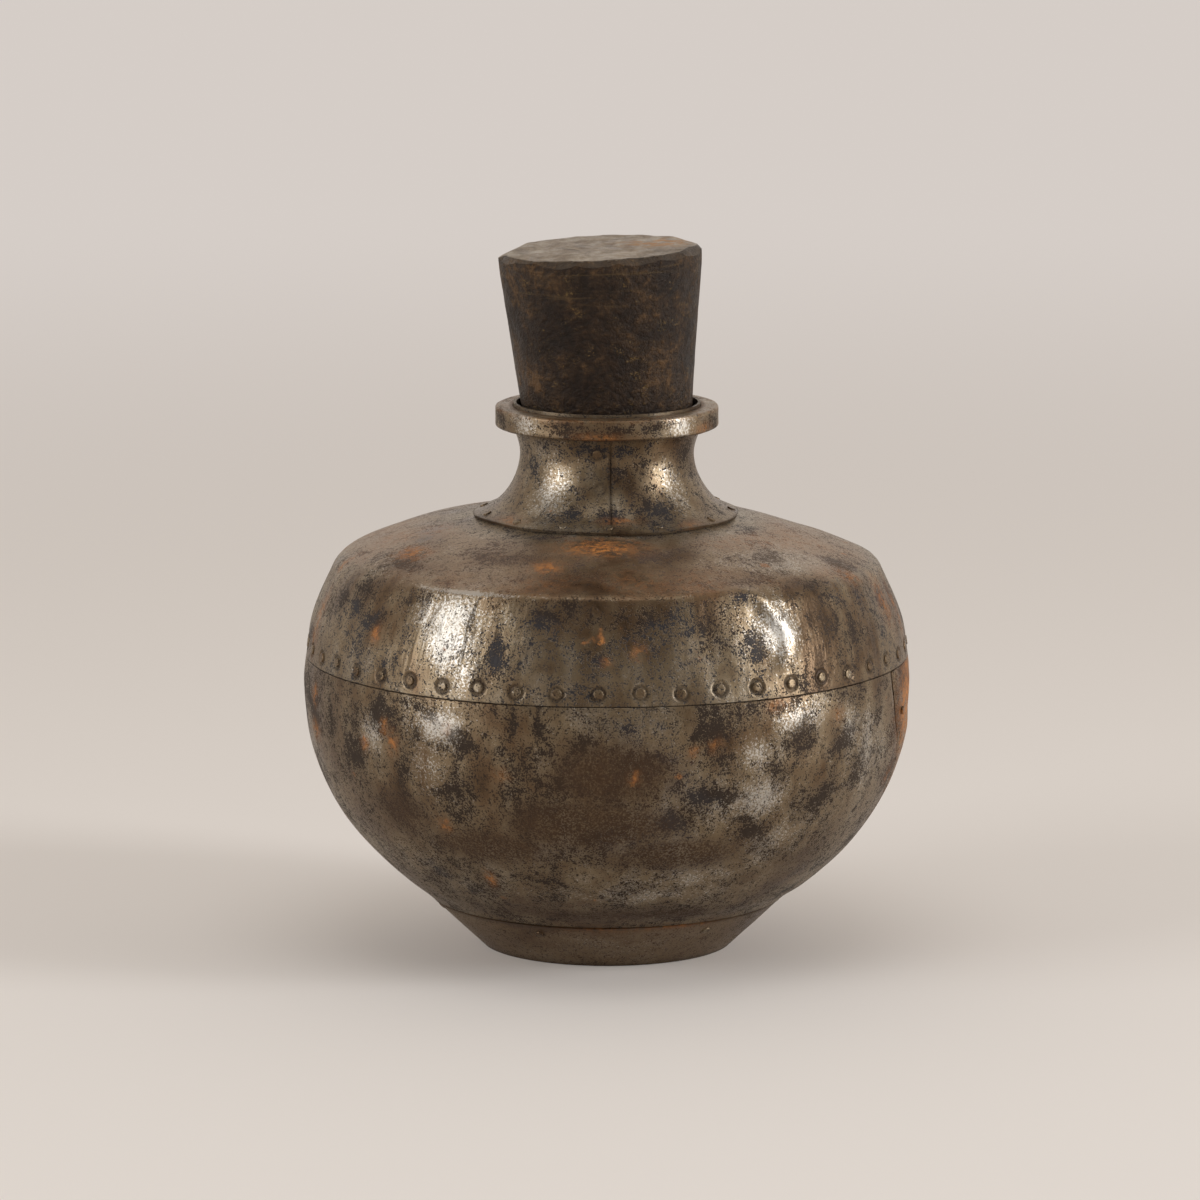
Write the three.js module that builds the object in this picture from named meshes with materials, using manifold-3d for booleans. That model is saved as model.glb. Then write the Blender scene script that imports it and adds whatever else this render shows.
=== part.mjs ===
// Riveted iron water pot with a wooden stopper.
// Millimetres, +Z up. The origin is the centre of the flat foot, and the front faces -Y.
// Angles round the pot are in degrees from the front towards +X.
// The body is beaten sheet: a foot pan, a bowl in two halves, a shoulder and a rolled neck,
// lapped over each other and held by rivets through punched holes.

import * as THREE from 'three';
import { mergeVertices } from 'three/addons/utils/BufferGeometryUtils.js';
import Module from 'manifold-3d';

const wasm = await Module();
wasm.setup();

// Sheet, clearance and the flats that the round is hammered in
const sheet = 1.6;
const neckSheet = 1.8;
const gap = 0.3;
const facets = 48;
const frontFacetAngle = -1.6;

// Foot pan
const footRadius = 84.4;
const panRadius = 118;
const panHeight = 32.5;
const heelRise = 1;
const heelInset = 1.6;
const footLap = 18;

// Bowl
const bellyRadius = 202.9;
const skirtHeight = 197.2;
const bellyDrop = 17.2;
const bellyHeight = skirtHeight - bellyDrop;
const bowlRiseAngle = 34.4;
const bowlRiseLength = 15.9;
const bellyRoundLength = 97.7;
const bowlJoggle = 4.5;
const bowlProud = 1.5;
const bowlSteps = 5;
const rightLapFacet = 10;
const leftLapFacet = 34;
const lapJoggle = 4.5;

// Shoulder, from its skirt's edge up
const skirtInset = 2.1;
const skirtRadius = bellyRadius - skirtInset;
const skirtLap = 15.8;
const skirtLean = 8.2;
const creaseInset = 22.1;
const creaseRise = 67.3;
const creaseRadius = skirtRadius - creaseInset;
const creaseHeight = skirtHeight + creaseRise;
const sideLean = 24;
const sideRound = 11.6;
const topRise = 19.3;
const topRound = 19.5;
const seatRadius = 90.5;
const seatLift = 23.7;
const seatHeight = creaseHeight + seatLift;
const seatRise = 24.2;
const mouthHoleRadius = 72;
const topEndRise = 7;

// Neck
const flangeRadius = 88.4;
const flangeWidth = 11.4;
const flangeWave = 1.3;
const flangeWaves = [
  { share: 0.6, count: 3, phase: 0.8 },
  { share: 0.4, count: 7, phase: -0.5 },
];
const throatRadius = 57.8;
const throatLift = 42.8;
const throatHeight = seatHeight + throatLift;
const neckRootLength = 9;
const neckThroatLength = 14;
const neckSteps = 34;
const neckLapAngle = 15;
const neckLapClearance = 0.36;

// Rim ring and the lip inside it
const ringRadius = 74.5;
const ringLift = 18.6;
const ringDepth = 14.2;
const ringEdge = 1.6;
const ringBottom = throatHeight + ringLift;
const ringTop = ringBottom + ringDepth;
const ringSeatRadius = 63;
const flareDrop = 1;
const lipRadius = 62.2;
const lipProud = 1.8;
const lipHeight = ringTop + lipProud;

// Stopper
const stopperLean = 2.6;
const stopperOffset = 1.35;
const stopperSeatLift = 2;
const stopperSeatHeight = throatHeight + stopperSeatLift;
const plugDepth = 13;
const plugChamfer = 3;
const plugTaper = 0.3;
const wedgeRise = 1;
const rimLevel = 33;
const stopperRimRadius = 57.2;
const stopperTopRadius = 68;
const stopperHeight = 136;
const topChamfer = 4.5;
const stopperSides = 32;
const hewnFlats = [
  { angle: -103, inset: 12, tilt: 22 },
  { angle: 110, inset: 8.5, tilt: 25 },
  { angle: 70, inset: 7, tilt: 38 },
];

// Rivets
const rivetSides = 7;
const shankRadius = 1.6;
const holeSides = 4;
const holeRadius = 2.7;
const headRadius = 3.5;
const headHeight = 1.8;
const headShoulder = { radius: 0.7, height: 0.75 };
const tailRadius = 2.8;
const tailHeight = 1.3;
const bellyRivetRise = 7.8;
const bellyRivetStray = 0.8;
const bellyRivetWander = 2.4;
const bellyRivetDrift = 1.3;
const footRivetDrop = 9.6;
const footRivetFacets = [-3, 5, 13, 21, 29, 37];
const flangeRivetInset = 5.6;
const flangeRivetFacets = [-10, -6, -3, 0, 3, 8, 12, 16, 20, 24, 28, 32, 35];
const flushHeadRadius = 3.4;
const flushWaistRadius = 2;
const upperSeamRivetRise = 7.7;
const lowerSeamRivetDrop = 15.1;
const neckRivets = [
  { name: 'neck_seam_rivet_upper', angle: -6.4, height: throatHeight + upperSeamRivetRise },
  { name: 'neck_seam_rivet_lower', angle: -4.3, height: throatHeight - lowerSeamRivetDrop },
];
const leftPlugRise = 71.6;
const rightPlugRise = 76;
const plugRivets = [
  { name: 'bowl_plug_rivet_left', angle: 22.5, height: panHeight + leftPlugRise },
  { name: 'bowl_plug_rivet_right', angle: 29.2, height: panHeight + rightPlugRise },
];

// Finishes
const wornIron = { color: 0x6f675a, roughness: 0.42, metalness: 0.85 };
const darkIron = { color: 0x4a4239, roughness: 0.5, metalness: 0.8 };
const oldWood = { color: 0x3b2f27, roughness: 0.75, metalness: 0 };

const flatTolerance = 0.001;
const facetStep = 360 / facets;
const flatRatio = Math.cos(THREE.MathUtils.degToRad(facetStep / 2));
const facetAngle = (facet) => frontFacetAngle + facet * facetStep;
const point = (radius, height) => new THREE.Vector2(radius, height);

// A step of a given length in the radius and height plane, inward and up at a rise in degrees
function inwardStep(length, rise) {
  const angle = THREE.MathUtils.degToRad(rise);
  return point(-length * Math.cos(angle), length * Math.sin(angle));
}

// Points of a curve, without its first one
function curvePoints(start, startHandle, endHandle, end, steps) {
  return new THREE.CubicBezierCurve(start, startHandle, endHandle, end).getPoints(steps).slice(1);
}

// A path moved sideways, away from the pot for a positive distance, with mitred corners
function offsetPath(path, distance) {
  return path.map((corner, i) => {
    const next = path[Math.min(i + 1, path.length - 1)];
    const last = path[Math.max(i - 1, 0)];
    const before = corner.clone().sub(i > 0 ? last : corner).normalize();
    const after = next.clone().sub(corner).normalize();
    const along = before.clone().add(after).normalize();
    const mitre = distance / along.dot(after.lengthSq() > 0 ? after : before);
    return point(corner.x + along.y * mitre, corner.y - along.x * mitre);
  });
}

// The outline of a sheet between two depths under its outer path
function sheetOutline(path, outerDepth, innerDepth) {
  const outside = outerDepth === 0 ? path : offsetPath(path, -outerDepth);
  return [...outside, ...offsetPath(path, -innerDepth).reverse()];
}

// An outline turned a full round: it closes on itself unless it starts on the axis
function revolve(outline) {
  const start = THREE.MathUtils.degToRad(facetAngle(-0.5));
  const closed = outline[0].x > 0 ? [...outline, outline[0]] : outline;
  return new THREE.LatheGeometry(closed, facets, start).rotateX(Math.PI / 2);
}

// A closed solid through outlines that stand at given angles round the pot, capped at both ends
function sweepRound(angles, outlines) {
  const count = outlines[0].length;
  const positions = [];
  angles.forEach((angle, i) => {
    const turn = THREE.MathUtils.degToRad(angle);
    for (const p of outlines[i]) positions.push(p.x * Math.sin(turn), -p.x * Math.cos(turn), p.y);
  });
  const indices = [];
  for (let i = 0; i < angles.length - 1; i++) {
    for (let j = 0; j < count; j++) {
      const a = i * count + j;
      const b = i * count + (j + 1) % count;
      indices.push(a, a + count, b + count, a, b + count, b);
    }
  }
  const lastRing = (angles.length - 1) * count;
  for (const [a, b, c] of THREE.ShapeUtils.triangulateShape(outlines[0], [])) {
    indices.push(a, b, c);
  }
  for (const [a, b, c] of THREE.ShapeUtils.triangulateShape(outlines[outlines.length - 1], [])) {
    indices.push(lastRing + a, lastRing + c, lastRing + b);
  }
  const geometry = new THREE.BufferGeometry();
  geometry.setAttribute('position', new THREE.Float32BufferAttribute(positions, 3));
  geometry.setIndex(indices);
  return geometry;
}

// Joining and cutting
function toSolid(geometry) {
  const bare = geometry.clone();
  bare.deleteAttribute('normal');
  bare.deleteAttribute('uv');
  const merged = mergeVertices(bare, 1e-4);
  const index = merged.getIndex().array;
  const kept = [];
  for (let i = 0; i < index.length; i += 3) {
    const [a, b, c] = [index[i], index[i + 1], index[i + 2]];
    if (a !== b && b !== c && c !== a) kept.push(a, b, c);
  }
  return new wasm.Manifold(new wasm.Mesh({
    numProp: 3,
    vertProperties: new Float32Array(merged.getAttribute('position').array),
    triVerts: new Uint32Array(kept),
  }));
}

// The seams that a cut leaves across flat faces are merged away
function toGeometry(solid) {
  const mesh = solid.asOriginal().simplify(flatTolerance).getMesh();
  const geometry = new THREE.BufferGeometry();
  geometry.setAttribute('position', new THREE.BufferAttribute(mesh.vertProperties, 3));
  geometry.setIndex(new THREE.BufferAttribute(mesh.triVerts, 1));
  geometry.computeVertexNormals();
  return geometry;
}

function subtractAll(geometry, tools) {
  return toGeometry(tools.reduce((solid, tool) => solid.subtract(toSolid(tool)), toSolid(geometry)));
}

function addAll(geometry, pieces) {
  return toGeometry(pieces.reduce((solid, piece) => solid.add(toSolid(piece)), toSolid(geometry)));
}

// Paths of the outer faces, from the foot up
const panRise = Math.atan2(panHeight - heelRise, panRadius - footRadius);
const heel = point(panRadius - (panHeight - heelRise) / Math.tan(panRise), heelRise);
const panEdge = point(panRadius, panHeight);
const panPath = [point(0, 0), point(footRadius - heelInset, 0), heel, panEdge];

const skirtEdge = point(skirtRadius, skirtHeight);
const skirtTop = skirtEdge.clone().add(inwardStep(skirtLap, 90 - skirtLean));
const skirtStep = skirtTop.clone().sub(skirtEdge).normalize();

const tuck = sheet + gap;
const panStep = panEdge.clone().sub(heel).normalize();
const alongPan = (distance) => panEdge.clone().addScaledVector(panStep, distance);
const alongSkirt = (distance) => skirtEdge.clone().addScaledVector(skirtStep, distance);

function bowlPath() {
  const rise = THREE.MathUtils.degToRad(bowlRiseAngle);
  const riseHandle = point(
    panRadius + bowlRiseLength * Math.sin(rise),
    panHeight + bowlRiseLength * Math.cos(rise),
  );
  const belly = point(bellyRadius, bellyHeight);
  const bellyHandle = point(bellyRadius, bellyHeight - bellyRoundLength);
  const curve = new THREE.CubicBezierCurve(panEdge, riseHandle, bellyHandle, belly);
  const first = bowlJoggle / (3 * bowlRiseLength);
  const wall = [];
  for (let i = 0; i <= bowlSteps; i++) wall.push(curve.getPoint(first + (1 - first) * i / bowlSteps));
  const tucked = offsetPath([alongPan(-footLap), alongPan(gap)], -tuck);
  const underSkirt = offsetPath([alongSkirt(-gap), alongSkirt(skirtLap)], -tuck);
  const proud = offsetPath([alongSkirt(-bowlJoggle), skirtEdge], bowlProud)[0];
  return [...tucked, ...wall, proud, ...underSkirt];
}

const seatOuter = point(seatRadius, seatHeight);
const seatStep = inwardStep(1, seatRise);
const alongSeat = (distance) => seatOuter.clone().addScaledVector(seatStep, distance);

function shoulderPath() {
  const corner = point(creaseRadius, creaseHeight);
  const sideDown = inwardStep(sideRound, 90 - sideLean);
  const creaseStart = corner.clone().sub(sideDown);
  const creaseEnd = corner.clone().add(inwardStep(topRound, topRise));
  const sideHandle = creaseStart.distanceTo(skirtTop) / 3;
  const topHandle = creaseEnd.distanceTo(seatOuter) / 3;
  const side = curvePoints(
    skirtTop,
    skirtTop.clone().addScaledVector(skirtStep, sideHandle),
    creaseStart.clone().sub(inwardStep(sideHandle, 90 - sideLean)),
    creaseStart,
    2,
  );
  const crease = new THREE.QuadraticBezierCurve(creaseStart, corner, creaseEnd).getPoints(2).slice(1);
  const top = curvePoints(
    creaseEnd,
    creaseEnd.clone().add(inwardStep(topHandle, topRise)),
    seatOuter.clone().sub(inwardStep(topHandle, topEndRise)),
    seatOuter,
    2,
  );
  const seatLength = (seatRadius - mouthHoleRadius) / -seatStep.x;
  return [skirtEdge, skirtTop, ...side, ...crease, ...top, alongSeat(seatLength)];
}

// The flange follows the shoulder's seat, and its edge wanders in and out round the pot
const flangeLine = offsetPath([seatOuter, alongSeat(1)], gap + neckSheet);
const flangeStep = flangeLine[1].clone().sub(flangeLine[0]).normalize();
const alongFlange = (radius) => (
  flangeLine[0].clone().addScaledVector(flangeStep, (radius - flangeLine[0].x) / flangeStep.x)
);

function neckPath(angle) {
  const turn = THREE.MathUtils.degToRad(angle);
  const wave = flangeWaves.reduce((sum, w) => sum + w.share * Math.sin(w.count * turn + w.phase), 0);
  const edge = alongFlange(flangeRadius + flangeWave * wave);
  const root = alongFlange(flangeRadius - flangeWidth);
  const throat = point(throatRadius, throatHeight);
  const trumpet = curvePoints(
    root,
    root.clone().addScaledVector(flangeStep, neckRootLength),
    point(throatRadius, throatHeight - neckThroatLength),
    throat,
    3,
  );
  const ringSeat = point(ringSeatRadius, ringBottom);
  const flare = new THREE.QuadraticBezierCurve(
    throat,
    point(throatRadius, (throatHeight + ringBottom) / 2 - flareDrop),
    ringSeat,
  ).getPoints(2).slice(1);
  return [edge, root, ...trumpet, ...flare, point(lipRadius, lipHeight)];
}

// Places on the pot: a frame's +Z points straight out of the flat that it stands on
function frameOn(low, high, along, facet, stray) {
  const middle = THREE.MathUtils.degToRad(facetAngle(facet));
  const outward = new THREE.Vector3(Math.sin(middle), -Math.cos(middle), 0);
  const sideways = new THREE.Vector3(Math.cos(middle), Math.sin(middle), 0);
  const place = low.clone().addScaledVector(high.clone().sub(low).normalize(), along);
  const distance = place.x * flatRatio;
  const origin = outward.clone().multiplyScalar(distance);
  origin.addScaledVector(sideways, distance * Math.tan(THREE.MathUtils.degToRad(stray)));
  origin.z = place.y;
  const normal = outward.multiplyScalar(high.y - low.y);
  normal.z = -(high.x - low.x) * flatRatio;
  return { origin, normal: normal.normalize() };
}

// A frame on a path at a height, at any angle round the pot
function frameAt(path, angle, height) {
  const facet = Math.round((angle - frontFacetAngle) / facetStep);
  const i = path.findIndex((p, k) => k > 0 && p.y >= height && path[k - 1].y < height) - 1;
  const share = (height - path[i].y) / (path[i + 1].y - path[i].y);
  const along = share * path[i].distanceTo(path[i + 1]);
  return frameOn(path[i], path[i + 1], along, facet, angle - facetAngle(facet));
}

function frameTurn(frame) {
  return new THREE.Quaternion().setFromUnitVectors(new THREE.Vector3(0, 0, 1), frame.normal);
}

function placeOn(geometry, frame) {
  const where = new THREE.Matrix4().compose(frame.origin, frameTurn(frame), new THREE.Vector3(1, 1, 1));
  return geometry.clone().applyMatrix4(where);
}

// A round-headed rivet along +Z, its head on z = seat and its tail peened over below z = -grip.
// A rivet that is one with the sheet under its head has the head's foot sunk in that sheet.
function rivetGeometry(seat, grip, sunk) {
  const foot = sunk > 0 ? [point(headRadius, seat - sunk)] : [];
  const outline = [
    point(0, -grip - tailHeight),
    point(tailRadius, -grip),
    point(shankRadius, -grip),
    point(shankRadius, seat - sunk),
    ...foot,
    point(headRadius, seat),
    point(headRadius * headShoulder.radius, seat + headHeight * headShoulder.height),
    point(0, seat + headHeight),
  ];
  return new THREE.LatheGeometry(outline, rivetSides).rotateX(Math.PI / 2);
}

// A flush rivet, widened at both faces of the sheets that it holds
function flushRivetGeometry(thickness, clearance, overshoot) {
  const half = thickness / 2 + overshoot;
  const spread = (flushHeadRadius - flushWaistRadius) / (thickness / 2);
  const face = flushWaistRadius + spread * half + clearance;
  const outline = [
    point(0, -half),
    point(face, -half),
    point(flushWaistRadius + clearance, 0),
    point(face, half),
    point(0, half),
  ];
  return new THREE.LatheGeometry(outline, rivetSides).rotateX(Math.PI / 2);
}

function punch(length) {
  return new THREE.CylinderGeometry(holeRadius, holeRadius, length, holeSides).rotateX(Math.PI / 2);
}

const punchLength = 2 * (4 * sheet + 3 * gap);
const holesAt = (frames, length) => frames.map((frame) => placeOn(punch(length), frame));

const root = new THREE.Group();

function addMesh(name, geometry, finish) {
  const mesh = new THREE.Mesh(geometry, new THREE.MeshStandardMaterial(finish));
  mesh.name = name;
  root.add(mesh);
  return mesh;
}

// Rivet rows
const isLapFacet = (facet) => facet === rightLapFacet || facet === leftLapFacet;

const bellyRow = [];
for (let facet = 0; facet < facets; facet++) {
  const stray = bellyRivetDrift * Math.sin(THREE.MathUtils.degToRad(facet * facetStep));
  const rise = bellyRivetRise + bellyRivetStray * Math.sin(bellyRivetWander * facet);
  bellyRow.push({ facet, ...frameOn(skirtEdge, skirtTop, rise, facet, stray) });
}

const footRow = footRivetFacets.map((facet) => (
  { facet, ...frameOn(heel, panEdge, heel.distanceTo(panEdge) - footRivetDrop, facet, 0) }
));

const flangeEdge = alongFlange(flangeRadius);
const flangeRow = flangeRivetFacets.map((facet) => (
  frameOn(flangeEdge, alongFlange(flangeRadius - flangeWidth), flangeRivetInset, facet, 0)
));

const bowl = bowlPath();
const tuckedPoints = 2;
const seamRow = (facet) => {
  const frames = [];
  for (let i = tuckedPoints + 1; i < tuckedPoints + bowlSteps; i++) {
    frames.push(frameOn(bowl[i], bowl[i + 1], bowl[i].distanceTo(bowl[i + 1]) / 2, facet, 0));
  }
  return frames;
};
const seamRows = [...seamRow(rightLapFacet), ...seamRow(leftLapFacet)];

// Foot pan, with its rivets headed over on the outside and tails inside the bowl's tucked edge
function makeBasePan() {
  const pan = revolve(sheetOutline(panPath, 0, sheet));
  const rivet = rivetGeometry(0, 2 * sheet + 2 * gap, sheet / 2);
  return addAll(pan, footRow.map((frame) => placeOn(rivet, frame)));
}

// The bowl is two half shells. The ends of the front half are stepped in under the back half.
function bowlHalf(firstFacet, lastFacet, endDepth) {
  const joggle = THREE.MathUtils.radToDeg(lapJoggle / bellyRadius);
  const angles = [];
  const outlines = [];
  const addColumn = (angle, depth) => {
    angles.push(angle);
    outlines.push(sheetOutline(bowl, depth, depth + sheet));
  };
  for (let edge = firstFacet; edge <= lastFacet + 1; edge++) {
    const angle = facetAngle(edge - 0.5);
    const isEnd = edge <= firstFacet + 1 || edge >= lastFacet;
    if (edge === lastFacet && endDepth > 0) addColumn(angle - joggle, 0);
    addColumn(angle, isEnd ? endDepth : 0);
    if (edge === firstFacet + 1 && endDepth > 0) addColumn(angle + joggle, 0);
  }
  return sweepRound(angles, outlines);
}

function covers(frame, firstFacet, lastFacet) {
  const facet = (frame.facet - firstFacet + facets) % facets;
  return facet <= lastFacet - firstFacet;
}

function makeFrontHalf() {
  const first = leftLapFacet - facets;
  const half = bowlHalf(first, rightLapFacet, tuck);
  const rivets = [...bellyRow, ...footRow].filter((frame) => covers(frame, first, rightLapFacet));
  const plugs = plugFrames.map((frame) => placeOn(punch(punchLength), frame));
  return subtractAll(half, [...holesAt([...rivets, ...seamRows], punchLength), ...plugs]);
}

function makeBackHalf() {
  const half = bowlHalf(rightLapFacet, leftLapFacet, 0);
  const rivets = [...bellyRow, ...footRow].filter((frame) => covers(frame, rightLapFacet, leftLapFacet));
  const punched = subtractAll(half, holesAt(rivets, punchLength));
  const seamRivet = rivetGeometry(0, 2 * sheet + 2 * gap, sheet / 2);
  return addAll(punched, seamRows.map((frame) => placeOn(seamRivet, frame)));
}

function makeShoulder() {
  const shell = revolve(sheetOutline(shoulderPath(), 0, sheet));
  const flangeHoles = holesAt(flangeRow, 2 * (neckSheet + gap + sheet) + punchLength);
  return subtractAll(shell, [...holesAt(bellyRow, punchLength), ...flangeHoles]);
}

// The neck is one strip rolled round. Both ends are thinned to half, the left one lying on top,
// so that the lap is flush.
function makeNeck() {
  const half = (neckSheet - gap) / 2;
  const full = { outer: 0, inner: neckSheet };
  const over = { outer: 0, inner: half };
  const under = { outer: neckSheet - half, inner: neckSheet };
  const seam = facetAngle(0.5);
  const lapStart = seam - neckLapAngle;
  const fullTurn = 360 - neckLapAngle;
  const clear = THREE.MathUtils.radToDeg(neckLapClearance / throatRadius);
  const angles = [];
  const outlines = [];
  const addColumn = (angle, depths) => {
    angles.push(angle);
    outlines.push(sheetOutline(neckPath(angle), depths.outer, depths.inner));
  };
  addColumn(lapStart + 2 * clear, under);
  addColumn(seam - neckLapAngle / 2, under);
  addColumn(seam - clear, under);
  for (let i = 0; i <= neckSteps; i++) addColumn(seam + fullTurn * i / neckSteps, full);
  addColumn(lapStart + 360 + clear, over);
  addColumn(seam + 360 - neckLapAngle / 2, over);
  addColumn(seam + 360 - 2 * clear, over);
  const rolled = sweepRound(angles, outlines);
  const hole = flushRivetGeometry(neckSheet, gap, 1);
  const punched = subtractAll(rolled, neckFrames.map((frame) => placeOn(hole, frame)));
  const rivet = rivetGeometry(0, neckSheet + sheet + 2 * gap, neckSheet / 2);
  return addAll(punched, flangeRow.map((frame) => placeOn(rivet, frame)));
}

// The rim ring is forged on round the neck's flare, and its bore follows the flare
function makeRing() {
  const flareStep = (lipRadius - ringSeatRadius) / (lipHeight - ringBottom);
  const boreAt = (height) => ringSeatRadius + gap + flareStep * (height - ringBottom);
  return revolve([
    point(boreAt(ringBottom) + ringEdge, ringBottom),
    point(ringRadius - ringEdge, ringBottom),
    point(ringRadius, ringBottom + ringEdge),
    point(ringRadius, ringTop - ringEdge),
    point(ringRadius - ringEdge, ringTop),
    point(boreAt(ringTop), ringTop),
    point(boreAt(ringBottom + ringEdge), ringBottom + ringEdge),
  ]);
}

// The stopper is turned to a taper that wedges in the throat, and hewn at its top edge
function makeStopper() {
  const neckFlat = Math.cos(THREE.MathUtils.degToRad((360 - neckLapAngle) / neckSteps / 2));
  const boreRadius = (throatRadius - neckSheet) * neckFlat;
  const wedgeRadius = boreRadius - gap - stopperOffset;
  const outline = [
    point(0, -plugDepth),
    point(wedgeRadius - plugChamfer, -plugDepth),
    point(wedgeRadius - plugTaper, plugChamfer - plugDepth),
    point(wedgeRadius, wedgeRise),
    point(stopperRimRadius, rimLevel),
    point(stopperTopRadius, stopperHeight - topChamfer),
    point(stopperTopRadius - topChamfer, stopperHeight),
    point(0, stopperHeight),
  ];
  const turned = new THREE.LatheGeometry(outline, stopperSides).rotateX(Math.PI / 2);
  const hewn = hewnFlats.map(({ angle, inset, tilt }) => {
    const waste = new THREE.BoxGeometry(stopperTopRadius * 2, stopperTopRadius * 2, stopperTopRadius);
    waste.translate(stopperTopRadius, 0, stopperTopRadius / 2);
    waste.rotateY(THREE.MathUtils.degToRad(tilt));
    waste.translate(stopperTopRadius - inset, 0, stopperHeight);
    return waste.rotateZ(THREE.MathUtils.degToRad(angle - 90));
  });
  return subtractAll(turned, hewn);
}

const plugFrames = plugRivets.map(({ angle, height }) => frameAt(bowl, angle, height));
const neckFrames = neckRivets.map(({ angle, height }) => {
  const frame = frameAt(neckPath(angle), angle, height);
  frame.origin.addScaledVector(frame.normal, -neckSheet / 2);
  return frame;
});

addMesh('base_pan', makeBasePan(), darkIron);
addMesh('bowl_front_half', makeFrontHalf(), wornIron);
addMesh('bowl_back_half', makeBackHalf(), wornIron);
addMesh('shoulder_shell', makeShoulder(), wornIron);
addMesh('neck_collar', makeNeck(), wornIron);
addMesh('rim_ring', makeRing(), wornIron);

const stopper = addMesh('wooden_stopper', makeStopper(), oldWood);
stopper.position.set(stopperOffset, 0, stopperSeatHeight);
stopper.rotation.y = -THREE.MathUtils.degToRad(stopperLean);

function addRivet(name, geometry, frame) {
  const rivet = addMesh(name, geometry, darkIron);
  rivet.position.copy(frame.origin);
  rivet.quaternion.copy(frameTurn(frame));
}

// Belly rivets join the skirt to the bowl, and at the bowl's laps they take a third sheet
const bellyRivet = rivetGeometry(gap, 2 * sheet + 2 * gap, 0);
const longBellyRivet = rivetGeometry(gap, 3 * sheet + 3 * gap, 0);
bellyRow.forEach((frame, i) => {
  const name = `belly_rivet_${String(i + 1).padStart(2, '0')}`;
  addRivet(name, isLapFacet(frame.facet) ? longBellyRivet : bellyRivet, frame);
});

const neckRivet = flushRivetGeometry(neckSheet, 0, 0);
neckRivets.forEach(({ name }, i) => addRivet(name, neckRivet, neckFrames[i]));

const plugRivet = rivetGeometry(gap, sheet + gap, 0);
plugRivets.forEach(({ name }, i) => addRivet(name, plugRivet, plugFrames[i]));

export default root;
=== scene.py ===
# Old riveted iron water pot with a wooden stopper, on a pale floor in soft light.
# Metres, in the model's frame: +Z up, the front faces -Y.
# Angles round the pot are in degrees from the front towards +X.

import math

import bpy
import numpy as np
from mathutils import Matrix, Vector, noise
from mathutils.geometry import interpolate_bezier


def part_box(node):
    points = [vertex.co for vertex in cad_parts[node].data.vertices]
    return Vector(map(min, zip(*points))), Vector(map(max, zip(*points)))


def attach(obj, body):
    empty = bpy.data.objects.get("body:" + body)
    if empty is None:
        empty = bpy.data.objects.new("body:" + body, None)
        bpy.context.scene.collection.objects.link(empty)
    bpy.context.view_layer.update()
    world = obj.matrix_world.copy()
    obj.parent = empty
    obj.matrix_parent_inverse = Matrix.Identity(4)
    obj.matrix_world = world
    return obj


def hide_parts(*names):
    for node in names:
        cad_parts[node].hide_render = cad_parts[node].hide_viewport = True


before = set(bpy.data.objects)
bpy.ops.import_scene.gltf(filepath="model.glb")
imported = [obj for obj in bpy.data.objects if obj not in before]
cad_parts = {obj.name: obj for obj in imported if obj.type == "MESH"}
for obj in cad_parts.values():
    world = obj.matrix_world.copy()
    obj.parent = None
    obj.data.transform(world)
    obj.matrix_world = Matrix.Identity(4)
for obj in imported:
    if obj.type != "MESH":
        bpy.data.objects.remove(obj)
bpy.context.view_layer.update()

MM = 0.001
SHEET = 1.6 * MM
NECK_SHEET = 1.8 * MM
GAP = 0.3 * MM
TUCK = SHEET + GAP
WELD_DISTANCE = 1e-6

# Camera: distance, height and lens that put the outline where the photograph has it
IMAGE_WIDTH = 1200
PIXELS_PER_METRE = 1497.5
CAMERA_DISTANCE = 5.0
CAMERA_RISE = 10.0
LOOK_AT = Vector((-4.67 * MM, 0.0, 231.5 * MM))
SENSOR_WIDTH = 36.0
VIEW_DEPTH = 100.0

# Foot pan
FOOT_RADIUS = 84.4 * MM
PAN_RADIUS = 118 * MM
PAN_HEIGHT = 32.5 * MM
PAN_RISE = 43.1
FOOT_LAP = 18 * MM

# Bowl
BELLY_RADIUS = 202.7 * MM
BELLY_HEIGHT = 180 * MM
BOWL_RISE = 34.4
BOWL_RISE_LENGTH = 15.9 * MM
BELLY_ROUND_LENGTH = 97.7 * MM
BOWL_JOGGLE = 1.0 * MM
LAP_ANGLE = 7.5
RIGHT_LAP = 69.65
LEFT_LAP = 249.65
HALF_SWEEP = 180.0 + LAP_ANGLE
SEAM_LEAN = 8.0
THIN_EDGE = 0.3
TOOL_MARKS = (-17.5, -12.5)
TOOL_MARK_HEIGHT = 184 * MM

# Shoulder
SKIRT_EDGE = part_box("shoulder_shell")[0][2]
SKIRT_RADIUS = 200.8 * MM
SKIRT_LEAN = 8.2
SKIRT_LAP = 15.8 * MM
CREASE_RADIUS = 178.7 * MM
CREASE_HEIGHT = 264.5 * MM
SIDE_LEAN = 24.0
TOP_RISE = 19.3
SOFT_CREASE = (11.6 * MM, 19.5 * MM)
SHARP_CREASE = (3.2 * MM, 4.0 * MM)
SEAT_RADIUS = 90.5 * MM
SEAT_HEIGHT = 288.2 * MM
SEAT_RISE = 24.2
TOP_END_RISE = 7.0
HOLE_RADIUS = 72 * MM

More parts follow.
